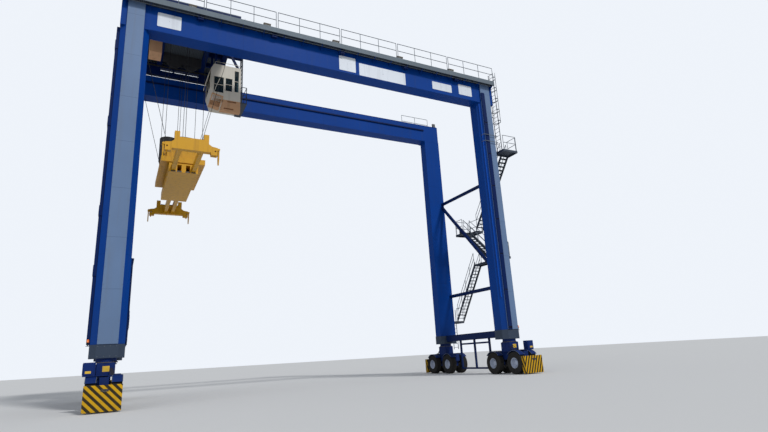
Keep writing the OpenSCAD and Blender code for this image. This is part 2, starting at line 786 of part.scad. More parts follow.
// Grooved rope drum on two bearing stands with gearbox and motor
module hoist_winch() {
    z0 = beam_z1 + deck_t / 2;
    zc = z0 + drum_r + 200;
    x = tx - well_x - drum_r - 100;
    n = 12;
    color([0.25, 0.27, 0.3]) {
        translate([x, 0, zc]) rotate([90, 0, 0]) rotate_extrude($fn = 48)
            polygon(concat([[0, -drum_l / 2 - 250], [110, -drum_l / 2 - 250],
                [110, -drum_l / 2 - 60], [drum_r + 60, -drum_l / 2 - 60],
                [drum_r + 60, -drum_l / 2]],
                [for (i = [0:n - 1], k = [0, 1])
                    [drum_r - (k == 0 ? 0 : 18),
                        -drum_l / 2 + (i + (k == 0 ? 0.25 : 0.75)) * drum_l / n]],
                [[drum_r + 60, drum_l / 2], [drum_r + 60, drum_l / 2 + 60],
                [110, drum_l / 2 + 60], [110, drum_l / 2 + 250],
                [0, drum_l / 2 + 250]]));
        for (s = [-1, 1])
            translate([x, s * (drum_l / 2 + 160), z0]) rotate([90, 0, 0])
                linear_extrude(140, center = true)
                    polygon([[-330, 0], [330, 0], [170, zc - z0 + 160],
                        [-170, zc - z0 + 160]]);
        block([x - 420, drum_l / 2 + 230, z0], [x + 380, drum_l / 2 + 750, zc + 300]);
        translate([x - 700, drum_l / 2 + 490, z0 + 330]) rotate([0, 90, 0])
            cylinder(h = 300, r = 220, $fn = 32);
        block([x - 650, drum_l / 2 + 330, z0], [x - 420, drum_l / 2 + 650, z0 + 200]);
    }
}

// A grooved sheave about the Y axis
module sheave() {
    r = sheave_r;
    g = rope_r + 3;
    rotate([90, 0, 0]) rotate_extrude($fn = 64)
        polygon([[60, -45], [r + 40, -45], [r + 40, -g], [r, -g], [r, g],
            [r + 40, g], [r + 40, 45], [60, 45]]);
    rotate([90, 0, 0]) cylinder(h = 200, r = 60, center = true, $fn = 32);
}
upper_sheave_z = beam_z1 - sheave_r - 60;
module rope_sheaves() {
    color([0.3, 0.3, 0.32])
        for (sy = [-1, 1]) {
            for (sx = [-1, 1])
                translate([tx + sx * sheave_x, sy * sheave_y, upper_sheave_z])
                    sheave();
            // hanger plates between the two cross beams carry the sheave pins
            for (k = [-1, 1])
                block([tx - well_x, sy * sheave_y + k * 80 - 12, upper_sheave_z - 130],
                    [tx + well_x, sy * sheave_y + k * 80 + 12, beam_z1]);
        }
}

// Cabinet hung under the end of the frame beyond the hoist well
module trolley_cabinet() {
    color([0.6, 0.45, 0.32]) {
        block([tx - cabinet_x - 700, -500, girder_z + 1030],
            [tx - cabinet_x, 500, girder_z + 1830]);
        for (s = [-1, 1])
            block([tx - cabinet_x - 80, s * 400 - 30, girder_z + 1830],
                [tx - cabinet_x - 20, s * 400 + 30, beam_z0]);
    }
}

// Side outline of the cabin: sloped front glass, roof, back wall and floor
module cabin_side(shrink = 0) {
    s = shrink;
    x0 = cabin_front;
    x1 = cabin_back;
    polygon([[x0 + 250 + s, cabin_z + s], [x0 + s, cabin_z + 750 + s / 3],
        [x0 + s, cabin_top - 350 - s / 3], [x0 + 180 + s, cabin_top - s],
        [x1 - s, cabin_top - s], [x1 - s, cabin_z + s]]);
}
module cabin_windows(t) {
    // side windows as X and Z ranges, then the front, foot and back windows
    for (w = side_windows)
        block([tx + w[0], -cabin_w / 2 - t, cabin_z + w[2]],
            [tx + w[1], cabin_w / 2 + t, cabin_z + w[3]]);
    block([tx + cabin_front - t, -cabin_w / 2 + 150, cabin_z + 800],
        [tx + cabin_front + wall_t + t, cabin_w / 2 - 150, cabin_top - 420]);
    block([tx + cabin_back - wall_t - t, -cabin_w / 2 + 250, cabin_z + 100],
        [tx + cabin_back + t, -cabin_w / 2 + 1050, cabin_z + 2050]);
}
module cabin_shell() {
    color(cream) {
        difference() {
            translate([tx, 0, 0]) rotate([90, 0, 0])
                linear_extrude(cabin_w, center = true) cabin_side();
            translate([tx, 0, 0]) rotate([90, 0, 0])
                linear_extrude(cabin_w - 2 * wall_t, center = true)
                    cabin_side(wall_t);
            cabin_windows(1);
        }
        // visor over the front window
        translate([tx, 0, 0]) rotate([90, 0, 0])
            linear_extrude(cabin_w, center = true)
                polygon([[cabin_front, cabin_top - 350], [cabin_front, cabin_top - 410],
                    [cabin_front - visor_d, cabin_top - 950],
                    [cabin_front - visor_d - 40, cabin_top - 930]]);
    }
}
// Panes seated in the window openings, the doorway at the back stays open
module cabin_glass() {
    t = 12;
    y = cabin_w / 2;
    m = wall_t / 2;
    color([0.2, 0.3, 0.35, 0.5]) {
        for (w = side_windows, s = [-1, 1])
            block([tx + w[0], s * (y - m) - t / 2, cabin_z + w[2]],
                [tx + w[1], s * (y - m) + t / 2, cabin_z + w[3]]);
        block([tx + cabin_front + m - t / 2, -y + 150, cabin_z + 800],
            [tx + cabin_front + m + t / 2, y - 150, cabin_top - 420]);
    }
}

// Service housing under the near side of the cabin, with a tilted basket
module cabin_guard() {
    y = cabin_w / 2;
    z = cabin_z;
    x = tx + cabin_front;
    d = guard_drop;
    color([0.8, 0.62, 0.48]) {
        difference() {
            translate([x, guard_w + 20 - y, 0]) rotate([90, 0, 0])
                linear_extrude(guard_w)
                    polygon([[790, z], [610, z - d], [1850, z - d], [1850, z]]);
            block([x + 1040, -y, z - 130], [x + 1600, 150 - y, z - 40]);
            block([x + 860, -y, z - d + 110], [x + 1440, 150 - y, z - d + 200]);
        }
        // basket: a frame on the cabin wall and an open box behind it
        translate([x, -y, 0]) rotate([90, 0, 0]) linear_extrude(40)
            difference() {
                polygon([[110, z + 340], [800, z + 200], [560, z - 680],
                    [-80, z - 520]]);
                polygon([[160, z + 260], [715, z + 145], [520, z - 600],
                    [-10, z - 470]]);
            }
        translate([x, guard_w - y, 0]) rotate([90, 0, 0])
            difference() {
                linear_extrude(guard_w + 1)
                    polygon([[30, z - 20], [735, z - 20], [560, z - 680], [-80, z - 520]]);
                translate([0, 0, 20]) linear_extrude(guard_w + 1)
                    polygon([[75, z - 10], [690, z - 10], [520, z - 625], [-35, z - 485]]);
            }
    }
}

// Grated landing behind the cabin with a ladder up to the trolley deck
module cabin_platform() {
    x0 = tx + cabin_back;
    x1 = x0 + 420;
    y = cabin_w / 2;
    color(cream) {
        block([x0, -y, cabin_z - 60], [x1, y, cabin_z]);
        for (s = [-1, 1])
            railing([x0 + 60, s * (y - 30), cabin_z], [x1 - 30, s * (y - 30), cabin_z]);
        railing([x1 - 30, -y + 80, cabin_z], [x1 - 30, y - 80, cabin_z]);
        // lattice tower up the outer side
        for (s = [-1, 1])
            bar([x1 - 90, s * 350 + 500, cabin_z], [x1 - 90, s * 350 + 500, beam_z1 - 80], 25);
        for (i = [1:12])
            bar([x1 - 90, 150, cabin_z + i * 320], [x1 - 90, 850, cabin_z + i * 320], 14);
    }
}

// Ropes run from the upper sheaves to the lower ones, four more are slanted
rope_low_z = spreader_z + rope_low_h;
fall_x = sheave_r + rope_r + run;
module hoist_ropes() {
    color([0.12, 0.12, 0.13])
        for (sy = [-1, 1], sx = [-1, 1]) {
            for (k = [-1, 1])
                bar([tx + sx * sheave_x + k * fall_x, sy * sheave_y, rope_low_z],
                    [tx + sx * sheave_x + k * fall_x, sy * sheave_y,
                        upper_sheave_z], rope_r);
            bar([tx + sx * slant_low_x, sy * slant_y, rope_low_z],
                [tx + (sx < 0 ? -slant_top_x : frame_right - 150), sy * slant_y,
                    upper_sheave_z], rope_r);
        }
}

// Frame above the spreader that carries the lower sheaves
head_z = spreader_z + 860;
module headblock() {
    color(spreader_yellow)
        difference() {
            block([tx - head_x, -head_y, head_z], [tx + head_x, head_y, head_z + 300]);
            block([tx - 450, -head_y + 950, head_z - 1],
                [tx + 450, head_y - 950, head_z + 301]);
        }
    color([0.3, 0.3, 0.32])
        for (sy = [-1, 1]) {
            for (k = [-1, 1])
                translate([tx, sy * sheave_y + k * 80, head_z + 300])
                    rotate([90, 0, 0]) linear_extrude(24, center = true)
                        polygon([[-1050, 0], [1050, 0], [760, 600], [-760, 600]]);
            for (sx = [-1, 1]) {
                translate([tx + sx * sheave_x, sy * sheave_y, rope_low_z]) sheave();
                block([tx + sx * slant_low_x - 60, sy * slant_y - 25, head_z + 300],
                    [tx + sx * slant_low_x + 60, sy * slant_y + 25,
                        rope_low_z - (sx < 0 ? 4 : 3.4)]);
            }
        }
}

// Round basket that takes up the power cable, recessed at the top
module cable_basket() {
    color([0.08, 0.08, 0.09])
        translate([tx - basket_x, -basket_y, head_z + 300])
            rotate_extrude($fn = 48)
                polygon([[0, 0], [basket_r - 40, 0], [basket_r, 120],
                    [basket_r, basket_h], [basket_r - 25, basket_h],
                    [basket_r - 25, basket_h - 300], [0, basket_h - 300]]);
}

// Middle frame of the spreader: floor, webs and cover plate around the
// channels that the telescopic beams slide in
beam_z = spreader_z + 240;
frame_z = beam_z - 80;
module spreader_frame() {
    top_z = beam_z + beam_h + slide_gap;
    color(spreader_yellow) {
        block([tx - mid_w, -mid_l, frame_z], [tx + mid_w, mid_l, beam_z - run]);
        block([tx - mid_w, -mid_l, top_z], [tx + mid_w, mid_l, spreader_z + 660]);
        for (s = [-1, 1]) {
            a = near_beam_x + beam_w / 2 + slide_gap;
            b = near_beam_x - beam_w / 2 - slide_gap;
            c = far_beam_x + beam_w / 2 + slide_gap;
            d = far_beam_x - beam_w / 2 - slide_gap;
            block([tx + (s > 0 ? a : -mid_w), -mid_l, beam_z - run],
                [tx + (s > 0 ? mid_w : -a), mid_l, top_z]);
            block([tx + (s > 0 ? c : -b), -mid_l, beam_z - run],
                [tx + (s > 0 ? b : -c), mid_l, top_z]);
            if (s > 0)
                block([tx - d, -mid_l, beam_z - run], [tx + d, mid_l, top_z]);
        }
        for (sx = [-1, 1], sy = [-1, 1])
            translate([tx + sx * 600, sy * 1500, spreader_z + 660 + 100])
                cube([200, 200, 200], center = true);
    }
}

// Telescopic end: two beams, the end beam, posts, twistlocks and hinge lugs
module arm(far) {
    bx = far == 0 ? near_beam_x : far_beam_x;
    end_w = 300;
    z = spreader_z;
    hx = spread_x + 65;
    color(spreader_yellow)
        translate([tx, 0, 0]) mirror([0, far, 0]) difference() {
            union() {
                translate([0, end_w - spread_y, 0]) rotate([90, 0, 0])
                    linear_extrude(end_w)
                        polygon([[-spread_x, z], [-920, z], [-900, z + 130],
                            [900, z + 130], [920, z], [spread_x, z],
                            [spread_x, z + 410], [950, z + 450], [520, z + 760],
                            [-520, z + 760], [-950, z + 450], [-spread_x, z + 410]]);
                for (s = [-1, 1]) {
                    block([s * bx - beam_w / 2, end_w - spread_y, beam_z],
                        [s * bx + beam_w / 2, -beam_in, beam_z + beam_h]);
                    block([s * 680 - 120, 30 - spread_y, z + 500],
                        [s * 680 + 120, 270 - spread_y, z + 1060]);
                    // twistlock: neck and cone below the corner
                    translate([s * 1130, 89 - spread_y, 0]) {
                        translate([0, 0, z - 40]) cylinder(h = 40, r = 30, $fn = 24);
                        translate([0, 0, z - 90]) cylinder(h = 50, r1 = 18, r2 = 50, $fn = 8);
                    }
                    // lugs of the flipper hinge with their pin
                    for (y = [0, end_w - 30])
                        translate([0, y - spread_y, 0]) {
                            block([min(s * spread_x, s * hx), 0, z + flip_z - 55],
                                [max(s * spread_x, s * hx), 30, z + flip_z + 55]);
                            translate([s * hx, 30, z + flip_z]) rotate([90, 0, 0])
                                cylinder(h = 30, r = 55, $fn = 32);
                        }
                    translate([s * hx, end_w - spread_y, z + flip_z])
                        rotate([90, 0, 0]) cylinder(h = end_w, r = pin_r, $fn = 32);
                }
            }
            for (s = [-1, 1])
                translate([s * 1120, end_w + 1 - spread_y, z + 215])
                    rotate([90, 0, 0]) cylinder(h = end_w + 2, r = 45, $fn = 24);
        }
}
module near_arm() { arm(0); }
module far_arm() { arm(1); }

// Corner guide that swings up about the pin on the end beam
module flipper(right, far) {
    s = right == 0 ? -1 : 1;
    w = 300 - 60 - 6;
    color(spreader_yellow)
        translate([tx + s * (spread_x + 65), (far == 0 ? -1 : 1) * (spread_y - 150),
            spreader_z + flip_z])
            difference() {
                union() {
                    rotate([90, 0, 0])
                        cylinder(h = w, r = 55, center = true, $fn = 32);
                    rotate([90, 0, 90])
                        linear_extrude(flip_t, center = true)
                            polygon([[-w / 2, 0], [w / 2, 0],
                                [w / 2, -flip_l * 0.6], [30, -flip_l],
                                [-30, -flip_l], [-w / 2, -flip_l * 0.6]]);
                }
                rotate([90, 0, 0])
                    cylinder(h = w + 2, r = pin_r + run, center = true, $fn = 32);
            }
}
module near_left_flipper() { flipper(0, 0); }
module near_right_flipper() { flipper(1, 0); }
module far_left_flipper() { flipper(0, 1); }
module far_right_flipper() { flipper(1, 1); }

// Steered bogie under a leg: slewing ring, pedestal, beam, axle hangers,
// drive motor, fenders and a control cabinet on the outer side
beam_top = 1400;
module bogie(right, far) {
    ay = wheelbase / 2;
    color(steel_blue) corner(right, far) {
        translate([0, 0, foot_z - 200])
            cylinder(h = 200 - run, r = slew_r, $fn = 64);
        block([-350, -450, beam_top], [350, 450, foot_z - 200]);
        block([-bogie_w / 2, -bogie_l / 2, beam_top - 500],
            [bogie_w / 2, bogie_l / 2, beam_top]);
        for (s = [-1, 1]) {
            difference() {
                block([-240, s * ay - 150, tyre_r - 150],
                    [240, s * ay + 150, beam_top - 400]);
                translate([-241, s * ay, tyre_r]) rotate([0, 90, 0])
                    cylinder(h = 482, r = axle_r + run, $fn = 48);
            }
            block([-700, s * ay - 30, beam_top], [700, s * ay + 30, beam_top + 62]);
            for (x0 = [-710, 290])
                translate([0, s * ay, tyre_r]) rotate([90, 0, 90])
                    rotate([0, 0, 90 - fender_arc / 2])
                        rotate_extrude(angle = fender_arc, $fn = 48)
                            translate([tyre_r + 70, x0]) square([15, 420]);
        }
        // drive motor and gearbox between the wheels
        block([-290, -300, 950], [-bogie_w / 2, 300, 1350]);
        translate([-290, 0, 1150]) rotate([0, -90, 0])
            cylinder(h = 330, r = 150, $fn = 32);
        // cabinet on its shelf
        block([-bogie_box_x, -bogie_box_y, beam_top + 55],
            [150, bogie_box_d - bogie_box_y, beam_top + 80]);
        block([-bogie_box_x, -bogie_box_y, beam_top + 80],
            [bogie_box_w - bogie_box_x, bogie_box_d - bogie_box_y, bogie_box_top]);
    }
}
module near_left_bogie() { bogie(0, 0); }
module near_right_bogie() { bogie(1, 0); }
module far_left_bogie() { bogie(0, 1); }
module far_right_bogie() { bogie(1, 1); }

// Bumper plate with side returns on two arms at the outer end of a bogie
module bumper(right, far) {
    w = bumper_w / 2;
    color([0.95, 0.75, 0.1]) corner(right, far) {
        block([-w, -bumper_out, bumper_z], [w, 60 - bumper_out, bumper_z + bumper_h]);
        for (s = [-1, 1])
            block([s * w - (s > 0 ? 20 : 0), 60 - bumper_out, bumper_z],
                [s * w + (s > 0 ? 0 : 20), bumper_d - bumper_out, bumper_z + bumper_h]);
        for (s = [-1, 1])
            block([s * 130 - 50, 60 - bumper_out, beam_top - 500],
                [s * 130 + 50, -bogie_l / 2, beam_top - 320]);
    }
}
module near_left_bumper() { bumper(0, 0); }
module near_right_bumper() { bumper(1, 0); }
module far_left_bumper() { bumper(0, 1); }
module far_right_bumper() { bumper(1, 1); }

// Outline of one wheel and its half of the axle as radius and distance along X
wheel_half = [[axle_r, 0], [axle_r, tyre_in + 60], [rim_r - 20, tyre_in + 60],
    [rim_r - 20, tyre_in], [tyre_r - 50, tyre_in], [tyre_r, tyre_in + 50],
    [tyre_r, tyre_in + tyre_w - 50], [tyre_r - 50, tyre_in + tyre_w],
    [rim_r, tyre_in + tyre_w], [rim_r - 30, tyre_in + tyre_w - 10],
    [rim_r - 70, tyre_in + 190], [170, tyre_in + 150], [150, tyre_in + 240],
    [0, tyre_in + 240]];

// The two wheels of one axle, outer is the axle nearer the end of the crane
module wheels(right, far, inner) {
    n = len(wheel_half) - 1;
    color([0.1, 0.1, 0.1]) corner(right, far)
        translate([0, (inner == 0 ? -1 : 1) * wheelbase / 2, tyre_r])
            rotate([0, 90, 0]) rotate_extrude($fn = 96)
                polygon(concat([for (i = [n:-1:1]) [wheel_half[i].x, -wheel_half[i].y]],
                    wheel_half));
}
module near_left_outer_wheels() { wheels(0, 0, 0); }
module near_left_inner_wheels() { wheels(0, 0, 1); }
module near_right_outer_wheels() { wheels(1, 0, 0); }
module near_right_inner_wheels() { wheels(1, 0, 1); }
module far_left_outer_wheels() { wheels(0, 1, 0); }
module far_left_inner_wheels() { wheels(0, 1, 1); }
module far_right_outer_wheels() { wheels(1, 1, 0); }
module far_right_inner_wheels() { wheels(1, 1, 1); }

near_girder();
far_girder();
near_left_leg();
near_right_leg();
far_left_leg();
far_right_leg();
leg_covers();
left_sill();
right_sill();
left_braces();
right_braces();
trolley_rails();
near_walkway();
far_platform();
walkway_railings();
floodlights();
stair_treads();
stair_frames();
stair_railings();
caged_ladder();
electrical_house();
sill_guards();
cable_ducts();
trolley_frame();
trolley_deck();
trolley_railings();
hoist_winch();
rope_sheaves();
trolley_cabinet();
cabin_shell();
cabin_glass();
cabin_guard();
cabin_platform();
hoist_ropes();
headblock();
cable_basket();
spreader_frame();
near_arm();
far_arm();
near_left_flipper();
near_right_flipper();
far_left_flipper();
far_right_flipper();
near_left_bogie();
near_right_bogie();
far_left_bogie();
far_right_bogie();
near_left_bumper();
near_right_bumper();
far_left_bumper();
far_right_bumper();
near_left_outer_wheels();
near_left_inner_wheels();
near_right_outer_wheels();
near_right_inner_wheels();
far_left_outer_wheels();
far_left_inner_wheels();
far_right_outer_wheels();
far_right_inner_wheels();
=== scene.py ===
# %% [markdown]
# # A rubber tyred gantry crane
# The real object is a steel portal on steered rubber tyres, with a trolley
# that lifts heavy loads on wire ropes. Its big plates are already exact in
# the CAD frame, so this notebook adds what makes it look real: worn paint,
# gratings, tyres with tread, cabin fittings, hoses and bolts. Everything is
# in metres, with Z = 0 under the tyres.

# %% Load the frame
import bpy
import math
import numpy as np
from mathutils import Matrix, Vector


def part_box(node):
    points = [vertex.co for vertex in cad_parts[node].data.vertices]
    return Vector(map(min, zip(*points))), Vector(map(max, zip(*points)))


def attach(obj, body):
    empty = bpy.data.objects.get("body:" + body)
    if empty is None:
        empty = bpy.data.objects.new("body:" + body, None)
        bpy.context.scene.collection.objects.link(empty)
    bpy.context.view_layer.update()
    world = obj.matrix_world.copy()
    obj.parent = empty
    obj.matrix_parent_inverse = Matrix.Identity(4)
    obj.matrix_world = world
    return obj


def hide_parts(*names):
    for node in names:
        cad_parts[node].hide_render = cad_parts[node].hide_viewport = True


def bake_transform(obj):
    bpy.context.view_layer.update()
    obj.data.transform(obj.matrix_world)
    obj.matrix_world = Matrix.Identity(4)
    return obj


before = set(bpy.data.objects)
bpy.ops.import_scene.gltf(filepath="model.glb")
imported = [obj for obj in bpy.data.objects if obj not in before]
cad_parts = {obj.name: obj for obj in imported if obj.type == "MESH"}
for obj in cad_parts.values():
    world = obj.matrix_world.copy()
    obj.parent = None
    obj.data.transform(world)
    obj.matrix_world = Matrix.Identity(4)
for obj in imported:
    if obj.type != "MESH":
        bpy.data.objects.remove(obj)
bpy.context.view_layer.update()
middle_x = (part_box("near_left_leg")[0][0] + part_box("near_right_leg")[1][0]) / 2
leg_xs = (middle_x - 11.735, middle_x + 11.735)
leg_y = 3.75
trolley_x = middle_x - 8.81
ends = ((-1, "near"), (1, "far"))
corners = [f"{end}_{side}" for end in ("near", "far") for side in ("left", "right")]

# %% [markdown]
# ## The camera
# The photograph was taken with a wide lens from low down, a little turned up
# and rolled. The angles came from fitting known edges of the crane, so they
# are written here as turn, pitch and roll. A matrix built from the three
# directions of the view avoids any doubt about rotation order.

# %% Camera
turn, pitch, roll = (math.radians(a) for a in (28.148, 15.362, 3.316))
flat = Vector((math.sin(turn), math.cos(turn), 0))
right = Vector((math.cos(turn), -math.sin(turn), 0))
forward = flat * math.cos(pitch) + Vector((0, 0, math.sin(pitch)))
upward = -flat * math.sin(pitch) + Vector((0, 0, math.cos(pitch)))
view_x = right * math.cos(roll) - upward * math.sin(roll)
view_y = right * math.sin(roll) + upward * math.cos(roll)
eye = (-11.427 + middle_x, -30.491, 1.665)
lens = bpy.data.cameras.new("photo_lens")
lens.lens = 23.596
lens.sensor_width = 36
lens.clip_end = 500
camera = bpy.data.objects.new("photo_camera", lens)
camera.matrix_world = Matrix((
    (view_x.x, view_y.x, -forward.x, eye[0]),
    (view_x.y, view_y.y, -forward.y, eye[1]),
    (view_x.z, view_y.z, -forward.z, eye[2]),
    (0, 0, 0, 1)))
bpy.context.scene.collection.objects.link(camera)
bpy.context.scene.camera = camera
bpy.context.scene.view_settings.view_transform = "Standard"
print("camera at", [round(c, 2) for c in camera.matrix_world.translation])

# %% [markdown]
# ## Light and floor
# A clear day has one hard source and a bright dome. In a studio the same
# look comes from a wide sun lamp, a weaker one from the far side, and a pale
# world. The camera sees the world as plain pale blue-white, while the light
# on the steel stays at a level where a colour renders as it is written.

# %% Lamps
def add_sun(name, energy, spread, direction):
    """A sun lamp whose light travels along direction."""
    lamp = bpy.data.lights.new(name, "SUN")
    lamp.energy = energy
    lamp.angle = math.radians(spread)
    obj = bpy.data.objects.new(name, lamp)
    obj.rotation_euler = Vector(direction).to_track_quat("-Z", "Y").to_euler()
    bpy.context.scene.collection.objects.link(obj)


add_sun("key_sun", 1.9, 8, (-0.28, 0.83, -0.8))
add_sun("fill_sun", 0.5, 60, (0.8, 0.45, -0.35))
print("lamps", [lamp.name for lamp in bpy.data.lights])

# %% World
def set_inputs(node, values):
    """Writes constants on a node's own sockets."""
    for label, value in values.items():
        node.inputs[label].default_value = value


world = bpy.data.worlds.new("pale_sky")
bpy.context.scene.world = world
world.use_nodes = True
sky, wire = world.node_tree.nodes, world.node_tree.links.new
sky.clear()
sky_out = sky.new("ShaderNodeOutputWorld")
seen = sky.new("ShaderNodeBackground")
set_inputs(seen, {"Color": (0.86, 0.90, 0.96, 1), "Strength": 1.0})
light = sky.new("ShaderNodeBackground")
set_inputs(light, {"Color": (0.84, 0.90, 1.0, 1), "Strength": 0.42})
rays = sky.new("ShaderNodeLightPath")
either = sky.new("ShaderNodeMath")
either.operation = "MAXIMUM"
sky_mix = sky.new("ShaderNodeMixShader")
wire(rays.outputs["Is Camera Ray"], either.inputs[0])
wire(rays.outputs["Is Transmission Ray"], either.inputs[1])
wire(either.outputs[0], sky_mix.inputs["Fac"])
wire(light.outputs[0], sky_mix.inputs[1])
wire(seen.outputs[0], sky_mix.inputs[2])
wire(sky_mix.outputs[0], sky_out.inputs["Surface"])
print("world strength on the steel", round(light.inputs["Strength"].default_value, 2))

# %% Floor
def plain(name, values):
    """A material with constants on its own shader; returns both."""
    mat = bpy.data.materials.new(name)
    mat.use_nodes = True
    shader = mat.node_tree.nodes["Principled BSDF"]
    set_inputs(shader, values)
    return mat, shader


floor_mesh = bpy.data.meshes.new("studio_floor")
floor_mesh.from_pydata([(-160, -90, 0), (260, -90, 0), (260, 260, 0), (-160, 260, 0)],
                       [], [(0, 1, 2, 3)])
floor = bpy.data.objects.new("studio_floor", floor_mesh)
bpy.context.scene.collection.objects.link(floor)
floor_mesh.materials.append(plain("pale_floor", {"Base Color": (0.66, 0.66, 0.65, 1),
                                                 "Roughness": 0.9})[0])
print("floor faces", len(floor_mesh.polygons))

# %% [markdown]
# ## Shader groups
# Several finishes share the same ageing: dust that gathers low down, faint
# vertical rain streaks, and a soft change of tone over metres. Making it one
# group with named inputs keeps every paint on the crane the same age. A
# second group draws diagonal warning stripes, a third the bars of a grating.

# %% Groups and their inputs
def new_group(name, inputs, outputs):
    """A shader node group with float or colour sockets, returned with its ends."""
    group = bpy.data.node_groups.new(name, "ShaderNodeTree")
    for label, kind, value in inputs:
        socket = group.interface.new_socket(label, in_out="INPUT", socket_type=kind)
        socket.default_value = value
    for label, kind in outputs:
        group.interface.new_socket(label, in_out="OUTPUT", socket_type=kind)
    return group, group.nodes.new("NodeGroupInput"), group.nodes.new("NodeGroupOutput")


def feed(tree, node, slot, value):
    """Links a socket to an input, or writes a number or colour on it."""
    if hasattr(value, "links"):
        tree.links.new(value, node.inputs[slot])
    else:
        node.inputs[slot].default_value = value

# %% Maths, colour mixes and noise
def maths(tree):
    """A function that adds a Math node to tree; it takes sockets or numbers."""
    def add(operation, a, b=None, clamp=False):
        node = tree.nodes.new("ShaderNodeMath")
        node.operation = operation
        node.use_clamp = clamp
        feed(tree, node, 0, a)
        if b is not None:
            feed(tree, node, 1, b)
        return node.outputs[0]
    return add


def mix_colour(tree, fac, a, b, blend="MIX"):
    """A colour Mix node; a and b are sockets or colours."""
    node = tree.nodes.new("ShaderNodeMix")
    node.data_type = "RGBA"
    node.blend_type = blend
    for slot, value in ((0, fac), (6, a), (7, b)):
        feed(tree, node, slot, value)
    return node.outputs[2]


def place(tree):
    """The object coordinates as a vector socket."""
    return tree.nodes.new("ShaderNodeTexCoord").outputs["Object"]


def noise(tree, vector, scale, detail=3.0):
    """A Noise texture on a vector socket; returns its factor."""
    node = tree.nodes.new("ShaderNodeTexNoise")
    set_inputs(node, {"Scale": scale, "Detail": detail})
    tree.links.new(vector, node.inputs["Vector"])
    return node.outputs["Fac"]


# %% Weathering group
FLOAT, COLOUR = "NodeSocketFloat", "NodeSocketColor"
weather, w_in, w_out = new_group("Weathering", [
    ("Paint", COLOUR, (0.1, 0.1, 0.1, 1)), ("Dust", COLOUR, (0.35, 0.31, 0.26, 1)),
    ("Dust amount", FLOAT, 0.35), ("Streaks", FLOAT, 0.25), ("Base roughness", FLOAT, 0.35)],
    [("Color", COLOUR), ("Roughness", FLOAT), ("Height", FLOAT)])
op = maths(weather)
w_coord = place(weather)
w_stretch = weather.nodes.new("ShaderNodeMapping")
w_stretch.inputs["Scale"].default_value = (1.0, 1.0, 0.06)
weather.links.new(w_coord, w_stretch.inputs["Vector"])
w_split = weather.nodes.new("ShaderNodeSeparateXYZ")
weather.links.new(w_coord, w_split.inputs[0])
broad = noise(weather, w_coord, 0.35, 4)
fine = noise(weather, w_coord, 9.0, 5)
streak = noise(weather, w_stretch.outputs[0], 5.5, 4)
streak_mask = op("MULTIPLY", op("MULTIPLY", op("SUBTRACT", streak, 0.52, True), 3.2, True),
                 w_in.outputs["Streaks"])
dusty_height = 4.5
low = op("SUBTRACT", 1.0, op("DIVIDE", w_split.outputs["Z"], dusty_height), True)
dust_mask = op("MULTIPLY", op("MULTIPLY", low, op("ADD", fine, 0.25), True),
               w_in.outputs["Dust amount"])
tone = op("ADD", op("MULTIPLY", broad, 0.34), 0.83)
tone_rgb = weather.nodes.new("ShaderNodeCombineColor")
for channel in range(3):
    weather.links.new(tone, tone_rgb.inputs[channel])
toned = mix_colour(weather, 1.0, w_in.outputs["Paint"], tone_rgb.outputs[0], "MULTIPLY")
streaked = mix_colour(weather, streak_mask, toned, w_in.outputs["Dust"])
dusty = mix_colour(weather, dust_mask, streaked, w_in.outputs["Dust"])
weather.links.new(dusty, w_out.inputs["Color"])
rough = op("ADD", w_in.outputs["Base roughness"],
           op("ADD", op("MULTIPLY", fine, 0.16), op("MULTIPLY", dust_mask, 0.4)), True)
weather.links.new(rough, w_out.inputs["Roughness"])
weather.links.new(op("MULTIPLY", broad, 0.6), w_out.inputs["Height"])
print("weathering nodes", len(weather.nodes))

# %% Stripe and bar groups
def coordinate(tree):
    """X, Y and Z of the object coordinates."""
    vector = place(tree)
    split = tree.nodes.new("ShaderNodeSeparateXYZ")
    tree.links.new(vector, split.inputs[0])
    return split.outputs


stripes, s_in, s_out = new_group("Warning stripes", [
    ("Across", FLOAT, 1.0), ("Up", FLOAT, 1.0), ("Pitch", FLOAT, 0.25)],
    [("Mask", FLOAT)])
op, xyz = maths(stripes), coordinate(stripes)
flat_xy = op("ADD", xyz["X"], xyz["Y"])
slanted = op("ADD", op("MULTIPLY", flat_xy, s_in.outputs["Across"]),
             op("MULTIPLY", xyz["Z"], s_in.outputs["Up"]))
turns = op("DIVIDE", slanted, s_in.outputs["Pitch"])
stripe = op("GREATER_THAN", op("FRACT", turns), 0.5)
stripes.links.new(stripe, s_out.inputs["Mask"])

bars, b_in, b_out = new_group("Grating bars", [
    ("Pitch", FLOAT, 0.035), ("Cross pitch", FLOAT, 0.1)], [("Mask", FLOAT)])
op, xyz = maths(bars), coordinate(bars)
along = op("FRACT", op("DIVIDE", xyz["Y"], b_in.outputs["Pitch"]))
across = op("FRACT", op("DIVIDE", xyz["X"], b_in.outputs["Cross pitch"]))
bar = op("MAXIMUM", op("LESS_THAN", along, 0.3), op("LESS_THAN", across, 0.14))
bars.links.new(bar, b_out.inputs["Mask"])
print("groups", [g.name for g in bpy.data.node_groups])

# %% [markdown]
# ## The finishes
# Crane blue is a two-part paint: an even colour under a thin gloss, duller
# where dust sits. Galvanised steel is paler and patchy. Each finish is one
# material; the weathering group gives the colour and roughness, and a Bump
# node turns its height into the slight waviness of welded plate.

# %% How a finish is built
def linear(*rgb):
    """sRGB numbers from 0 to 255 as a linear colour."""
    c = np.array(rgb, dtype=float) / 255
    c = np.where(c <= 0.04045, c / 12.92, ((c + 0.055) / 1.055) ** 2.4)
    return (*[float(v) for v in c], 1.0)


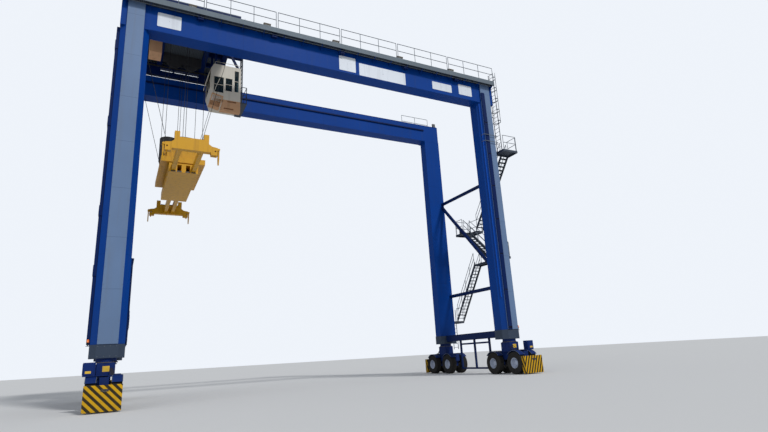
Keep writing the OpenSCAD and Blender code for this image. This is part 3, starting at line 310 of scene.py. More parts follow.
def finish(name, rgb, roughness=0.35, metallic=0.0, dust=0.3, streaks=0.2,
           coat=0.0, dust_rgb=(150, 140, 125), shine=0.3):
    """A weathered finish; returns the material, its tree and its group node."""
    mat, shader = plain(name, {"Metallic": metallic, "Coat Weight": coat,
                               "Coat Roughness": 0.15, "Specular IOR Level": shine})
    tree = mat.node_tree
    group = tree.nodes.new("ShaderNodeGroup")
    group.node_tree = weather
    set_inputs(group, {"Paint": linear(*rgb), "Dust": linear(*dust_rgb), "Dust amount": dust,
                       "Streaks": streaks, "Base roughness": roughness})
    tree.links.new(group.outputs["Color"], shader.inputs["Base Color"])
    tree.links.new(group.outputs["Roughness"], shader.inputs["Roughness"])
    wave = tree.nodes.new("ShaderNodeBump")
    set_inputs(wave, {"Strength": 0.15, "Distance": 0.02})
    tree.links.new(group.outputs["Height"], wave.inputs["Height"])
    tree.links.new(wave.outputs["Normal"], shader.inputs["Normal"])
    return mat, tree, group


# %% Blue paints and covers, with weld lines
def repaint(tree, group, mask, colour):
    """Mixes another linear colour over the paint by mask."""
    old = group.inputs["Paint"]
    base = old.links[0].from_socket if old.links else tuple(old.default_value)
    tree.links.new(mix_colour(tree, mask, base, colour), old)


def seams(tree, group, axis, pitch, start=0.0, width=0.012):
    """Darkens a thin weld line every pitch metres along axis."""
    op = maths(tree)
    shifted = op("ADD", coordinate(tree)[axis], 1000 * pitch - start)
    line = op("LESS_THAN", op("FRACT", op("DIVIDE", shifted, pitch)), width / pitch)
    repaint(tree, group, op("MULTIPLY", line, 0.45), (0.0, 0.01, 0.04, 1))


blue_rgb, grime, zinc_dust = (0, 58, 136), (52, 66, 92), (70, 74, 80)
foot_top = 2.795
girder_blue, t, g = finish("girder_blue", blue_rgb, 0.46, coat=0.04, dust_rgb=grime,
                           shine=0.08)
seams(t, g, "X", 3.9, 1.1)
leg_blue, t, g = finish("leg_blue", blue_rgb, 0.46, coat=0.04, dust=0.4, dust_rgb=grime,
                        shine=0.08)
seams(t, g, "Z", 4.1, 2.8)
repaint(t, g, maths(t)("LESS_THAN", coordinate(t)["Z"], foot_top), linear(60, 70, 84))
dark_blue = finish("dark_blue", (1, 28, 78), 0.45, coat=0.04, dust_rgb=grime, shine=0.1)[0]
bogie_blue = finish("bogie_blue", (1, 38, 104), 0.45, coat=0.05, dust=0.4, streaks=0.4,
                    dust_rgb=(46, 54, 70), shine=0.1)[0]
cover_grey, t, g = finish("cover_grey", (94, 118, 152), 0.38, coat=0.15, streaks=0.35,
                          dust_rgb=(96, 104, 116))
seams(t, g, "Z", 2.45, 2.8, 0.016)
print("crane blue, linear", [round(c, 3) for c in linear(*blue_rgb)[:3]])

# %% Zinc, grating, steel and rope
zinc, t, g = finish("zinc", (100, 108, 114), 0.5, metallic=0.4, dust=0.2, streaks=0.4,
                    dust_rgb=zinc_dust)
crystals = t.nodes.new("ShaderNodeTexVoronoi")
crystals.inputs["Scale"].default_value = 42
t.links.new(place(t), crystals.inputs["Vector"])
t.links.new(mix_colour(t, maths(t)("MULTIPLY", crystals.outputs["Distance"], 0.5),
                       linear(112, 120, 128), linear(74, 82, 92)), g.inputs["Paint"])
grating, t, g = finish("grating", (96, 106, 114), 0.55, metallic=0.4, dust=0.2,
                       dust_rgb=zinc_dust)
net = t.nodes.new("ShaderNodeGroup")
net.node_tree = bars
# The gaps between the bars are painted a dark grey: painted shade standing in for the holes.
repaint(t, g, maths(t)("SUBTRACT", 1.0, net.outputs["Mask"]), linear(48, 54, 60))
ladder_grey = finish("ladder_grey", (62, 70, 82), 0.5, metallic=0.3, dust=0.2,
                     dust_rgb=(50, 54, 60))[0]
steel = finish("bare_steel", (84, 84, 86), 0.45, metallic=0.7)[0]
rope, t, g = finish("rope_steel", (58, 58, 60), 0.5, metallic=0.6, dust=0.1)
# Dark helical bands along the lay are painted shade in the grooves between the strands.
xyz, op = coordinate(t), maths(t)
lay = op("FRACT", op("ADD", op("MULTIPLY", xyz["Z"], 11.0),
                     op("MULTIPLY", op("ADD", xyz["X"], xyz["Y"]), 30.0)))
repaint(t, g, op("GREATER_THAN", lay, 0.6), linear(26, 26, 28))
print("finishes so far", len(bpy.data.materials))

# %% Yellow, cabin, rubber and plastics
yellow = finish("spreader_yellow", (204, 150, 8), 0.4, coat=0.15, dust=0.2, streaks=0.55,
                dust_rgb=(120, 78, 20))[0]
cream = finish("cabin_cream", (206, 200, 186), 0.42, coat=0.15, streaks=0.35)[0]
tan = finish("guard_tan", (198, 154, 116), 0.55, streaks=0.45, dust_rgb=(110, 80, 60))[0]
rubber = finish("tyre_rubber", (24, 25, 27), 0.8, streaks=0.0, dust_rgb=(84, 80, 74),
                shine=0.15)[0]
black = finish("black_plastic", (24, 24, 26), 0.5, dust=0.2)[0]
rim_grey = finish("rim_grey", (170, 182, 204), 0.4, dust=0.25)[0]
lamp_case = finish("lamp_case", (112, 104, 92), 0.5, streaks=0.3)[0]
sign_white = finish("sign_white", (214, 220, 228), 0.35, dust=0.1, streaks=0.3,
                    dust_rgb=(120, 126, 134))[0]
print("finishes", len(bpy.data.materials))

# %% Warning stripes, glass and lamp glass
def striped(name, across, up, pitch):
    """Yellow paint with black diagonal stripes on the object coordinates."""
    mat, tree, group = finish(name, (214, 164, 8), 0.5, dust=0.35, streaks=0.3,
                              dust_rgb=(96, 84, 50), shine=0.15)
    pattern = tree.nodes.new("ShaderNodeGroup")
    pattern.node_tree = stripes
    set_inputs(pattern, {"Across": across, "Up": up, "Pitch": pitch})
    repaint(tree, group, pattern.outputs["Mask"], linear(14, 15, 18))
    return mat


stripe_left = striped("stripe_left", 0.75, 0.75, 0.235)
stripe_right = striped("stripe_right", 0.95, -0.35, 0.2)
glass, pane = plain("cabin_pane", {"Base Color": linear(58, 78, 84), "Roughness": 0.05,
                                   "IOR": 1.5, "Transmission Weight": 0.75})
t = glass.node_tree
smear = noise(t, place(t), 3.0)
t.links.new(maths(t)("MULTIPLY", smear, 0.14), pane.inputs["Roughness"])
lamp_glass = plain("lamp_glass", {"Base Color": linear(226, 228, 222), "Roughness": 0.12,
                                  "Coat Weight": 0.6})[0]
amber = finish("amber_lens", (240, 120, 20), 0.15, coat=0.7, dust=0.0, streaks=0.0)[0]
print("with stripes and glass", len(bpy.data.materials))

# %% Dress the CAD nodes
dressing = (
    (girder_blue, ["near_girder", "far_girder"]),
    (leg_blue, [c + "_leg" for c in corners]),
    (dark_blue, ["left_sill", "right_sill", "left_braces", "right_braces", "sill_guards",
                 "cable_ducts", "electrical_house", "trolley_frame"]),
    (bogie_blue, [c + "_bogie" for c in corners]),
    (cover_grey, ["leg_covers"]),
    (zinc, ["walkway_railings", "trolley_railings", "stair_railings"]),
    (ladder_grey, ["caged_ladder", "stair_frames", "cabin_platform"]),
    (grating, ["near_walkway", "far_platform", "stair_treads", "trolley_deck"]),
    (steel, ["trolley_rails", "rope_sheaves", "hoist_winch"]),
    (rope, ["hoist_ropes"]),
    (yellow, ["headblock", "spreader_frame", "near_arm", "far_arm"]
     + [c + "_flipper" for c in corners]),
    (cream, ["cabin_shell"]),
    (tan, ["cabin_guard", "trolley_cabinet"]),
    (glass, ["cabin_glass"]),
    (black, ["cable_basket"]),
    (lamp_case, ["floodlights"]),
    (stripe_left, ["near_left_bumper", "far_left_bumper"]),
    (stripe_right, ["near_right_bumper", "far_right_bumper"]))
for material, nodes in dressing:
    for node in nodes:
        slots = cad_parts[node].data.materials
        slots.clear()
        slots.append(material)
print("dressed", len(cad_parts))

# %% [markdown]
# ## Mesh helpers
# A sheet of points with rows and columns covers most shapes here: a tube is
# rows of circles, a tyre is rows of profile points. The faces follow from the
# grid alone, so they are made once with index arithmetic.

# %% Points, pieces and grids
def join(x, y, z):
    """Coordinates given as numbers or arrays, as one array of points."""
    return np.stack(np.broadcast_arrays(x, y, z), -1)


def circle(count):
    """Angles at equal steps round a full turn."""
    return np.linspace(0, 2 * np.pi, count, endpoint=False)


def piece(name, points, faces, body, material, smooth=False):
    """An object from points and faces. It rides on body, if one is given."""
    mesh = bpy.data.meshes.new(name)
    mesh.from_pydata(np.asarray(points, float).tolist(), [], faces)
    mesh.validate()
    if smooth:
        mesh.shade_smooth()
    obj = bpy.data.objects.new(name, mesh)
    bpy.context.scene.collection.objects.link(obj)
    mesh.materials.append(material)
    if body:
        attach(obj, body)
    return obj


def grid_piece(name, points, body, material, close_rows=False, close_cols=False, smooth=True):
    """Mesh from points[rows, cols, 3]; neighbours in rows and columns make quads."""
    rows, cols = points.shape[:2]
    i = np.arange(rows if close_rows else rows - 1)[:, None]
    j = np.arange(cols if close_cols else cols - 1)[None, :]
    i2, j2 = (i + 1) % rows, (j + 1) % cols
    quads = np.stack([i * cols + j, i * cols + j2, i2 * cols + j2, i2 * cols + j], -1)
    return piece(name, points.reshape(-1, 3), quads.reshape(-1, 4).tolist(), body, material,
                 smooth)


# %% [markdown]
# ## Tyres and rims
# Each bogie has two axles with a tyre at both ends. A tyre is a profile
# turned about its axle whose radius drops into grooves on the tread: a
# surface of two parameters, the angle round the axle and the way across the
# rubber. The rim is the same idea with a dished profile. The wheel nuts are
# six-sided prisms, and the axle is a circle carried along a line.

# %% Wheel profiles
def turned(profile, centre, mirror, steps, groove=None):
    """Point at angle a of profile (r, x) is (x, r cos a, r sin a) about centre."""
    profile = np.asarray(profile, float)
    a = circle(steps)[:, None]
    r = profile[None, :, 0] + (groove(a, np.arange(len(profile))[None]) if groove else 0 * a)
    return join(centre[0] + profile[:, 1] * mirror, centre[1] + r * np.cos(a),
                centre[2] + r * np.sin(a))


shoulder = np.linspace(0, np.pi / 2, 6)
tyre_profile = np.array(
    [(0.325, 0.32), (0.38, 0.303), (0.5, 0.300), (0.6, 0.302)]
    + [(0.645 + 0.045 * math.sin(q), 0.345 - 0.045 * math.cos(q)) for q in shoulder]
    + [(0.69, x) for x in np.linspace(0.345, 0.655, 15)[1:-1]]
    + [(0.645 + 0.045 * math.cos(q), 0.655 + 0.045 * math.sin(q)) for q in shoulder]
    + [(0.6, 0.698), (0.5, 0.700), (0.44, 0.697), (0.43, 0.690), (0.38, 0.694),
       (0.325, 0.682)])
rim_profile = [
    (0.328, 0.69), (0.322, 0.698), (0.312, 0.695), (0.300, 0.66), (0.292, 0.60),
    (0.275, 0.545), (0.255, 0.50), (0.235, 0.478), (0.21, 0.472), (0.175, 0.474),
    (0.168, 0.482), (0.165, 0.53), (0.155, 0.548), (0.10, 0.556), (0.06, 0.558),
    (0.004, 0.558)]
back_profile = [
    (0.004, 0.30), (0.06, 0.30), (0.061, 0.355), (0.13, 0.36), (0.22, 0.37),
    (0.27, 0.345), (0.30, 0.315), (0.328, 0.31)]
print("tyre", round(2 * float(tyre_profile[:, 0].max()), 3), "m across,",
      len(tyre_profile), "points in its profile")

# %% Tread
crown_rows = (8, 24)
lug_count, groove_depth = 34, 0.014


def tread(a, row):
    """Lugs: grooves that run slantwise over the crown, beside one middle rib."""
    first, last = crown_rows
    across = (row - first) / (last - first)
    inside = (row >= first) & (row <= last)
    wave = np.mod(a * lug_count / (2 * np.pi) + 1.3 * np.abs(across - 0.5), 1.0)
    return np.where(inside & (wave < 0.28) & (np.abs(across - 0.5) > 0.1), -groove_depth, 0.0)


print("lugs", lug_count, "of", groove_depth, "m")

# %% Circles along a path, and hexagons
def tube_points(path, radius, sides=10):
    """Circles carried along a path: each stands square to the path's direction."""
    path = np.asarray(path, float)
    step = np.gradient(path, axis=0)
    step /= np.linalg.norm(step, axis=1)[:, None]
    steep = np.abs(step[:, 2]).max() >= 0.9
    helper = np.broadcast_to([[0.37, 0.93, 0.05]] if steep else [[0, 0, 1.0]], step.shape)
    side = np.cross(step, helper)
    side /= np.linalg.norm(side, axis=1)[:, None]
    other = np.cross(step, side)
    a = circle(sides)[None, :, None]
    return path[:, None] + radius * (np.cos(a) * side[:, None] + np.sin(a) * other[:, None])


def prisms(name, rings, body, material):
    """Hexagonal heads from rings[..., 2, 6, 3]: all the sides, then the outer caps."""
    pts = rings.reshape(-1, 3)
    k = np.arange(6)
    base = 12 * np.arange(len(pts) // 12)[:, None, None]
    sides = np.stack([k, (k + 1) % 6, 6 + (k + 1) % 6, 6 + k], -1)[None] + base
    caps = (6 + k)[None, None] + base
    return piece(name, pts, sides.reshape(-1, 4).tolist() + caps.reshape(-1, 6).tolist(),
                 body, material)


# %% Wheels on their axles
nut_circle, nut_radius = 0.2, 0.016
for corner in corners:
    for axle in ("outer", "inner"):
        node = f"{corner}_{axle}_wheels"
        hub = [(low + high) / 2 for low, high in zip(*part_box(node))]
        made = []
        for mirror, side in ((-1, "a"), (1, "b")):
            for part, profile, steps, groove, material in (
                    ("tyre", tyre_profile, 136, tread, rubber),
                    ("rim", rim_profile, 56, None, rim_grey),
                    ("back", back_profile, 40, None, steel)):
                made.append(grid_piece(f"{node}_{part}_{side}",
                                       turned(profile, hub, mirror, steps, groove),
                                       node, material, close_rows=True))
                if mirror < 0:
                    made[-1].data.flip_normals()
            q, h = circle(10)[:, None, None], circle(6)
            made.append(prisms(f"{node}_nuts_{side}", join(
                hub[0] + mirror * np.array([[0.470], [0.496]]),
                hub[1] + nut_circle * np.cos(q) + nut_radius * np.cos(h),
                hub[2] + nut_circle * np.sin(q) + nut_radius * np.sin(h)), node, steel))
        shaft = join(np.linspace(hub[0] - 0.33, hub[0] + 0.33, 6), hub[1], hub[2])
        made.append(grid_piece(f"{node}_axle", tube_points(shaft, 0.06, 24), node, steel,
                               close_cols=True))
        for obj in made:
            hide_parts(node)
print("wheels", len(corners) * 4)

# %% [markdown]
# ## Bare sign plates
# White sheets hang on the girder's web. They stay bare, with rounded corners
# and a softened edge. A plane with a bevel could do it. Here the rounded
# outline is drawn in towards its middle in layers, so the face, the edge and
# the corners come from one grid.

# %% Plates on the girder
def plate(name, x0, x1, z0, z1, y, thick=0.012, corner=0.05):
    """A rounded rectangle: points on the outline pulled towards the middle."""
    a = circle(48)
    cx, cz = (x0 + x1) / 2, (z0 + z1) / 2
    ox = np.sign(np.cos(a)) * ((x1 - x0) / 2 - corner) + corner * np.cos(a)
    oz = np.sign(np.sin(a)) * ((z1 - z0) / 2 - corner) + corner * np.sin(a)
    layers = [join(cx + ox * size, y - depth, cz + oz * size) for size, depth in (
        (1, 0), (1, thick * 0.7), (0.995, thick), (0.9, thick), (0.45, thick), (0.02, thick))]
    obj = grid_piece(name, np.array(layers), "portal", sign_white, close_cols=True,
                     smooth=False)


web_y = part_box("near_girder")[0][1] + 0.02
plate_edges = [(-10.69, -9.47, 19.61, 20.48), (0.02, 1.18, 19.42, 20.46),
               (1.43, 4.92, 19.32, 20.22), (7.11, 8.76, 19.53, 20.13),
               (9.39, 10.55, 19.57, 20.39)]
for number, (x0, x1, z0, z1) in enumerate(plate_edges):
    plate(f"girder_plate_{number}", x0 + middle_x, x1 + middle_x, z0, z1, web_y)
print("plates", len(plate_edges), "on the web at y", round(web_y, 3))

# %% [markdown]
# ## Walkway, gussets and floodlights
# The walkway hangs on the girder by welded tapered gussets. A gusset is a
# flat plate, so it is an outline that is pushed along its thickness. Cables
# for the floodlights run in a thin pipe below the edge channel: a circle
# carried along a path. Each lamp's glass is a grid that bulges a little.

# %% Gussets
def plates(name, outline, places, push, body, material):
    """Copies of a flat outline [n, 3], each pushed by push and moved by places."""
    outline = np.asarray(outline, float)
    n = len(outline)
    both = np.concatenate([outline, outline + push])
    pts = np.asarray(places, float)[:, None] + both[None]
    k = np.arange(n)
    faces = []
    for base in 2 * n * np.arange(len(places)):
        sides = np.stack([k, (k + 1) % n, n + (k + 1) % n, n + k], -1)
        faces += [(k[::-1] + base).tolist(), (k + n + base).tolist()] + (sides + base).tolist()
    piece(name, pts.reshape(-1, 3), faces, body, material)


girder_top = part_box("near_girder")[1][2]
plates("walkway_gussets", [(0, -4.22, girder_top - 0.34), (0, -4.22, girder_top - 0.03),
                           (0, -4.6, girder_top - 0.03), (0, -4.6, girder_top - 0.09)],
       [(x, 0, 0) for x in middle_x + np.arange(-12.3, 12.4, 1.23)], (0.012, 0, 0),
       "portal", girder_blue)
print("gussets from a girder top at", round(girder_top, 3))

# %% Conduit
def tubes(name, paths, radius, body, material, sides=10):
    """Several tubes as one mesh, each closed at both ends."""
    all_pts, all_faces, base = [], [], 0
    for path in paths:
        p = tube_points(path, radius, sides)
        rows = len(p)
        i = np.arange(rows - 1)[:, None]
        j = np.arange(sides)
        j2 = (j + 1) % sides
        quads = np.stack([i * sides + j, (i + 1) * sides + j, (i + 1) * sides + j2,
                          i * sides + j2], -1).reshape(-1, 4)
        all_faces += (quads + base).tolist()
        all_faces += [(j + base).tolist(), (j[::-1] + base + (rows - 1) * sides).tolist()]
        all_pts.append(p.reshape(-1, 3))
        base += rows * sides
    return piece(name, np.concatenate(all_pts), all_faces, body, material, smooth=True)


conduit_x = np.linspace(middle_x - 12.2, middle_x + 12.2, 60)
tubes("walkway_conduit", [join(conduit_x, -4.5, girder_top - 0.115)], 0.018, "portal", zinc, 8)
print("conduit", round(float(conduit_x[-1] - conduit_x[0]), 2), "m")

# %% Lamp glass
lamp_x = [-8.95, -4.72, -0.27, 4.43, 8.66]
lamp_y, lamp_z = -4.415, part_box("floodlights")[0][2] + 0.33
half_w, half_h, tilt = 0.175, 0.078, math.radians(25)
for number, x in enumerate(lamp_x):
    u = np.linspace(-1, 1, 9)[:, None]
    v = np.linspace(-1, 1, 5)[None, :]
    depth = -0.062 - 0.012 * (1 - u ** 2) * (1 - v ** 2)
    up = v * half_h - 0.02
    grid_piece(f"flood_glass_{number}", join(
        x + middle_x + u * half_w, lamp_y + depth * math.cos(tilt) - up * math.sin(tilt),
        lamp_z + depth * math.sin(tilt) + up * math.cos(tilt)), "portal", lamp_glass)
print("lamp glasses", len(lamp_x))

# %% [markdown]
# ## Leg fittings
# A lighter blue strip, painted highlight where the sun catches the chamfer,
# and a dark tray of cables, a dark stand-in for the band of shade beside the
# grey cover, run up the right leg. A beacon stands on an arm beside each
# foot, and the foot casings are bolted on. About two hundred bolt objects
# would slow the file down, so a group of bolt heads is one mesh of small
# six-sided prisms. Strips and lids are boxes with a live bevel.

# %% Bolt heads
def bolts(name, centres, axis, radius, height, body, material):
    """Hexagonal heads: six points round each centre, pushed along the axis."""
    centres, axis, a = np.asarray(centres, float), np.asarray(axis, float), circle(6)[:, None]
    first = np.cross(axis, [0.31, 0.2, 0.93])
    first /= np.linalg.norm(first)
    ring = radius * (np.cos(a) * first + np.sin(a) * np.cross(axis, first))
    head = np.stack([ring, ring * 0.92 + axis * height])
    prisms(name, centres[:, None, None] + head, body, material)


cover_bolts = [(x + side * 0.385, 4.30, z) for x in leg_xs for side in (-1, 1)
               for z in np.arange(3.0, 19.2, 0.82)]
foot_bolts = [(x + dx, 4.27, z) for x in leg_xs for dx in (-0.37, -0.12, 0.12, 0.37)
              for z in (2.28, 2.72)]
for label, centres, radius, height in (("cover", cover_bolts, 0.016, 0.008),
                                       ("foot", foot_bolts, 0.02, 0.012)):
    for end, word in ends:
        bolts(f"{label}_bolts_{word}", [(x, end * y, z) for x, y, z in centres], (0, end, 0),
              radius, height, "portal", zinc)
print("bolt heads", 2 * (len(cover_bolts) + len(foot_bolts)))

# %% Painted highlight strip, and a cable tray as painted shade
def blocks(name, boxes, body, material, bevel=0.006):
    """Many boxes from pairs of opposite corners: corner signs times half sizes plus centres."""
    boxes = np.asarray(boxes, float)
    signs = np.array([[x, y, z] for z in (-1, 1) for y in (-1, 1) for x in (-1, 1)])
    low, high = boxes.min(1), boxes.max(1)
    pts = (low + high)[:, None] / 2 + signs[None] * (high - low)[:, None] / 2
    sides = np.array([[0, 2, 3, 1], [4, 5, 7, 6], [0, 1, 5, 4], [2, 6, 7, 3],
                      [0, 4, 6, 2], [1, 3, 7, 5]])
    faces = sides[None] + 8 * np.arange(len(boxes))[:, None, None]
    obj = piece(name, pts.reshape(-1, 3), faces.reshape(-1, 4).tolist(), body, material)
    if bevel:
        mod = obj.modifiers.new("rounded_edges", "BEVEL")
        mod.width = bevel
        mod.segments = 2
    return obj


# A lighter and shinier copy of crane blue on a thin strip along the chamfer: painted highlight
# where the sun catches that face.
highlight_blue = finish("painted_highlight_blue", (4, 72, 166), 0.35, coat=0.1, streaks=0.1, dust_rgb=grime,
                    shine=0.16)[0]
blocks("leg_highlight_strip", [[(leg_xs[1] - 0.6, -4.158, 4.9), (leg_xs[1] - 0.52, -4.12, 19.2)]],
       "portal", highlight_blue, 0.004)
# The black cables and dark lids fill the band beside the grey cover where the leg shows shade:
# a dark tray standing in for painted shade.
tray_z = np.linspace(2.9, 19.9, 90)
tubes("shade_tray_cables", [join(leg_xs[1] - 0.361 + 0.058 * k
                          + 0.006 * np.sin(tray_z * (1.1 + 0.23 * k) + k), -4.338, tray_z)
                     for k in range(5)], 0.015, "portal", black, 8)
blocks("shade_tray_lids", [[(leg_xs[1] - 0.40, -4.362, z), (leg_xs[1] - 0.132, -4.352, z + 2.38)]
                     for z in np.arange(3.0, 18.0, 2.44)], "portal", dark_blue, 0.003)
print("cables rise", round(float(tray_z[-1] - tray_z[0]), 2), "m")

# %% Beacons
def beacon(name, x, y, z):
    """A turned lens on a short stalk: radius as a function of height."""
    profile = np.array([(0.002, 0.0), (0.022, 0.0), (0.022, 0.12), (0.055, 0.125),
                        (0.055, 0.16), (0.05, 0.165), (0.048, 0.25), (0.034, 0.285),
                        (0.002, 0.295)])
    a = circle(28)[:, None]
    pts = join(x + profile[:, 0] * np.cos(a), y + profile[:, 0] * np.sin(a), z + profile[:, 1])
    grid_piece(name + "_lens", pts[:, 4:], "portal", amber, close_rows=True)
    grid_piece(name + "_stalk", pts[:, :5], "portal", black, close_rows=True)


beacon_out, beacon_y, arm_top = 0.79, 3.9, 2.765
arms = []
for number, (x, out) in enumerate(zip(leg_xs, (-1, 1))):
    for end, word in ends:
        beacon(f"beacon_{number}_{word}", x + out * beacon_out, end * beacon_y,
               arm_top - 0.005)
        arms.append([(x + out * 0.705, end * beacon_y - 0.05, arm_top - 0.02),
                     (x + out * 0.86, end * beacon_y + 0.05, arm_top)])
blocks("beacon_arms", arms, "portal", dark_blue, 0.003)
print("beacons", len(arms))

# %% [markdown]
# ## Bogies
# Up close a bogie is machinery: hydraulic hoses in loose arcs between the
# leg and the axles, a ring of bolts under the slewing bearing, cabinet doors
# and labels, ribs, a tow slot with its loop, and a bright edge on each
# mudguard. Hoses could be curve objects with a bevel. Tubes along curves that
# are worked out here are plain meshes from the start, as the rest is.

# %% Rings and arcs
def rings_at(x, y, rows, count):
    """A circle of points about (x, y) for each (radius, z) in rows."""
    a = circle(count)
    return np.array([join(x + r * np.cos(a), y + r * np.sin(a), z) for r, z in rows])


def arc_points(centre, radius, start, stop, x, count=24):
    """Points round the X axis at a radius, from angle start to stop in degrees."""
    a = np.radians(np.linspace(start, stop, count))
    return join(x, centre[0] + radius * np.cos(a), centre[1] + radius * np.sin(a))


# %% Bogie fittings
label_yellow = finish("label_yellow", (226, 184, 40), 0.4, streaks=0.3)[0]
axle_y, hub_z, guard_r = 1.04, 0.69, 0.768
bearing_r, bumper_face = 0.452, 2.05
for corner in corners:
    body = corner + "_bogie"
    out = -1 if "left" in corner else 1
    end = -1 if "near" in corner else 1
    cx, cy = leg_xs[out > 0], end * leg_y
    tubes(f"{body}_guard_edges", [arc_points((cy + s * axle_y, hub_z), guard_r, 41, 139, cx + x)
                                  for s in (-1, 1) for x in (-0.705, 0.705, -0.295, 0.295)],
          0.012, body, zinc, 8)
    bolts(f"{body}_ring_bolts", [(cx + bearing_r * math.cos(q),
                                  cy + bearing_r * math.sin(q), 2.02)
                                 for q in circle(28)], (0, 0, 1), 0.017, 0.03, body, steel)
    flange = rings_at(cx, cy, ((0.43, 2.0), (0.48, 2.0), (0.48, 2.022), (0.43, 2.022)), 72)
    grid_piece(f"{body}_ring_flange", flange, body, steel, close_cols=True, smooth=False)
    door_x, door_y = cx + out * 0.83, cy + end * 1.30
    blocks(f"{body}_cabinet_doors", [
        [(cx + out * 0.42, door_y, 1.52), (cx + out * 0.79, door_y + end * 0.018, 1.99)],
        [(door_x, cy + end * 0.94, 1.52), (door_x + out * 0.018, cy + end * 1.26, 1.99)]],
        body, bogie_blue, 0.008)
    blocks(f"{body}_labels", [
        [(cx + out * 0.52, door_y + end * 0.018, 1.58),
         (cx + out * 0.74, door_y + end * 0.021, 1.68)],
        [(cx - 0.12, cy + end * 0.45, 1.62), (cx + 0.16, cy + end * 0.454, 1.86)]],
        body, label_yellow, 0.001)
    u = np.linspace(0, 1, 26)
    arch = np.sin(u * np.pi)
    hoses = [join(cx - out * (0.20 + 0.045 * k),
                  cy + end * (0.45 + (0.52 - 0.05 * k) * np.sin(u * np.pi / 2) ** 1.3),
                  1.75 - 0.30 * u - 0.03 * k + 0.07 * np.sin(u * np.pi * 2 + k))
             for k in range(4)]
    hoses += [join(cx + out * (0.36 + 0.05 * k) + 0.05 * arch * out,
                   cy + 0.12 * arch * end - 0.1 + 0.08 * k,
                   1.98 - 0.62 * u + 0.02 * np.sin(u * 9)) for k in range(3)]
    tubes(f"{body}_hoses", hoses, 0.014, body, black, 8)
    face = cy + end * bumper_face
    # The tow slot is a black block on the bumper face: painted shade for its opening.
    blocks(f"{body}_tow_slot_shade", [[(cx - 0.09, face - end * 0.004, 0.84),
                                 (cx + 0.21, face + end * 0.012, 0.94)]], body, black, 0.02)
    q = np.linspace(-0.4, np.pi + 0.4, 18)
    tubes(f"{body}_tow_loop", [join(cx + 0.06 + 0.075 * np.cos(q), face + end * 0.03,
                                    0.885 - 0.055 * np.sin(q))], 0.014, body, steel, 8)
    ribs = [[(cx + x0, cy + s * 0.30 - 0.012, 1.4), (cx + x1, cy + s * 0.30 + 0.012, z1)]
            for x0, x1, z1 in ((-0.36, -0.35, 2.0), (0.35, 0.38, 1.98)) for s in (-1, 0, 1)]
    ribs += [[(cx - 0.2, cy + s * 0.7 - 0.01, 0.93), (cx + 0.2, cy + s * 0.7 + 0.01, 1.37)]
             for s in (-1, 1)]
    blocks(f"{body}_ribs", ribs, body, bogie_blue, 0.003)
print("bogies", len(corners), "with", len(hoses), "hoses each")

# %% [markdown]
# ## Electrical house
# Hinges, lever handles, louvres and roof vents break up its plain sides. A
# louvre could be a bump pattern, but only real slats throw shadows, so one
# slat is repeated along Z. A vent is a profile turned about Z.

# %% House fittings
house_x = leg_xs[0]
skin = house_x - 0.826
slats, hinges, handles = [], [], []
for y in (-2.25, -1.15, 0.35, 1.45):
    slats += [[(house_x - 0.842, y + 0.05, z), (skin, y + 0.7, z + 0.035)]
              for z in np.arange(5.35, 6.25, 0.075)]
    hinges += [[(house_x - 0.838, y - 0.09, z), (skin, y - 0.04, z + 0.12)]
               for z in (3.25, 4.4, 5.2)]
    handles.append(np.array([(skin - reach, y + 0.72, z) for reach, z in (
        (0, 4.35), (0.02, 4.36), (0.024, 4.45), (0.02, 4.54), (0, 4.55))]))
slats += [[(house_x + 0.826, y, z), (house_x + 0.842, y + 1.2, z + 0.032)]
          for y in (-2.2, 0.4) for z in np.arange(3.65, 4.25, 0.07)]
blocks("house_louvres", slats, "portal", dark_blue, 0.004)
blocks("house_hinges", hinges, "portal", steel, 0.003)
tubes("house_handles", handles, 0.011, "portal", zinc, 8)
vent_rows = [(0.10, 7.03), (0.10, 7.14), (0.17, 7.15), (0.17, 7.19), (0.09, 7.235),
             (0.004, 7.24)]
for number, y in enumerate((-2.0, -0.7, 0.7, 2.0)):
    grid_piece(f"house_vent_{number}", rings_at(house_x, y, vent_rows, 28), "portal", zinc,
               close_cols=True)
blocks("house_front_louvre", [[(house_x - 0.55, -2.866, z), (house_x + 0.55, -2.852, z + 0.04)]
                              for z in np.arange(5.2, 6.4, 0.085)], "portal", dark_blue, 0.004)
print("slats", len(slats), "hinges", len(hinges), "handles", len(handles))

# %% [markdown]
# ## Cabin
# Thin frames divide the panes, wipers lie on the front glass, and the seat
# shows through it. A cushion is a superellipsoid: a ball whose sines and
# cosines are bent until it fills most of its box. Rails and a cooler stand
# on the roof, and bars with two stays guard the near side.

# %% Seat
def cushion(name, centre, half, power=4.0, rows=18, cols=36):
    """A padded block: |x|^p + |y|^p + |z|^p = 1, stretched to its half sizes."""
    v = np.linspace(-np.pi / 2 + 0.02, np.pi / 2 - 0.02, rows)[:, None]
    u = circle(cols)[None]

    def bend(t):
        return np.sign(t) * np.abs(t) ** (2 / power)
    pts = join(centre[0] + half[0] * bend(np.cos(v)) * bend(np.cos(u)),
               centre[1] + half[1] * bend(np.cos(v)) * bend(np.sin(u)),
               centre[2] + half[2] * bend(np.sin(v)))
    grid_piece(name, pts, "trolley", black, close_cols=True)


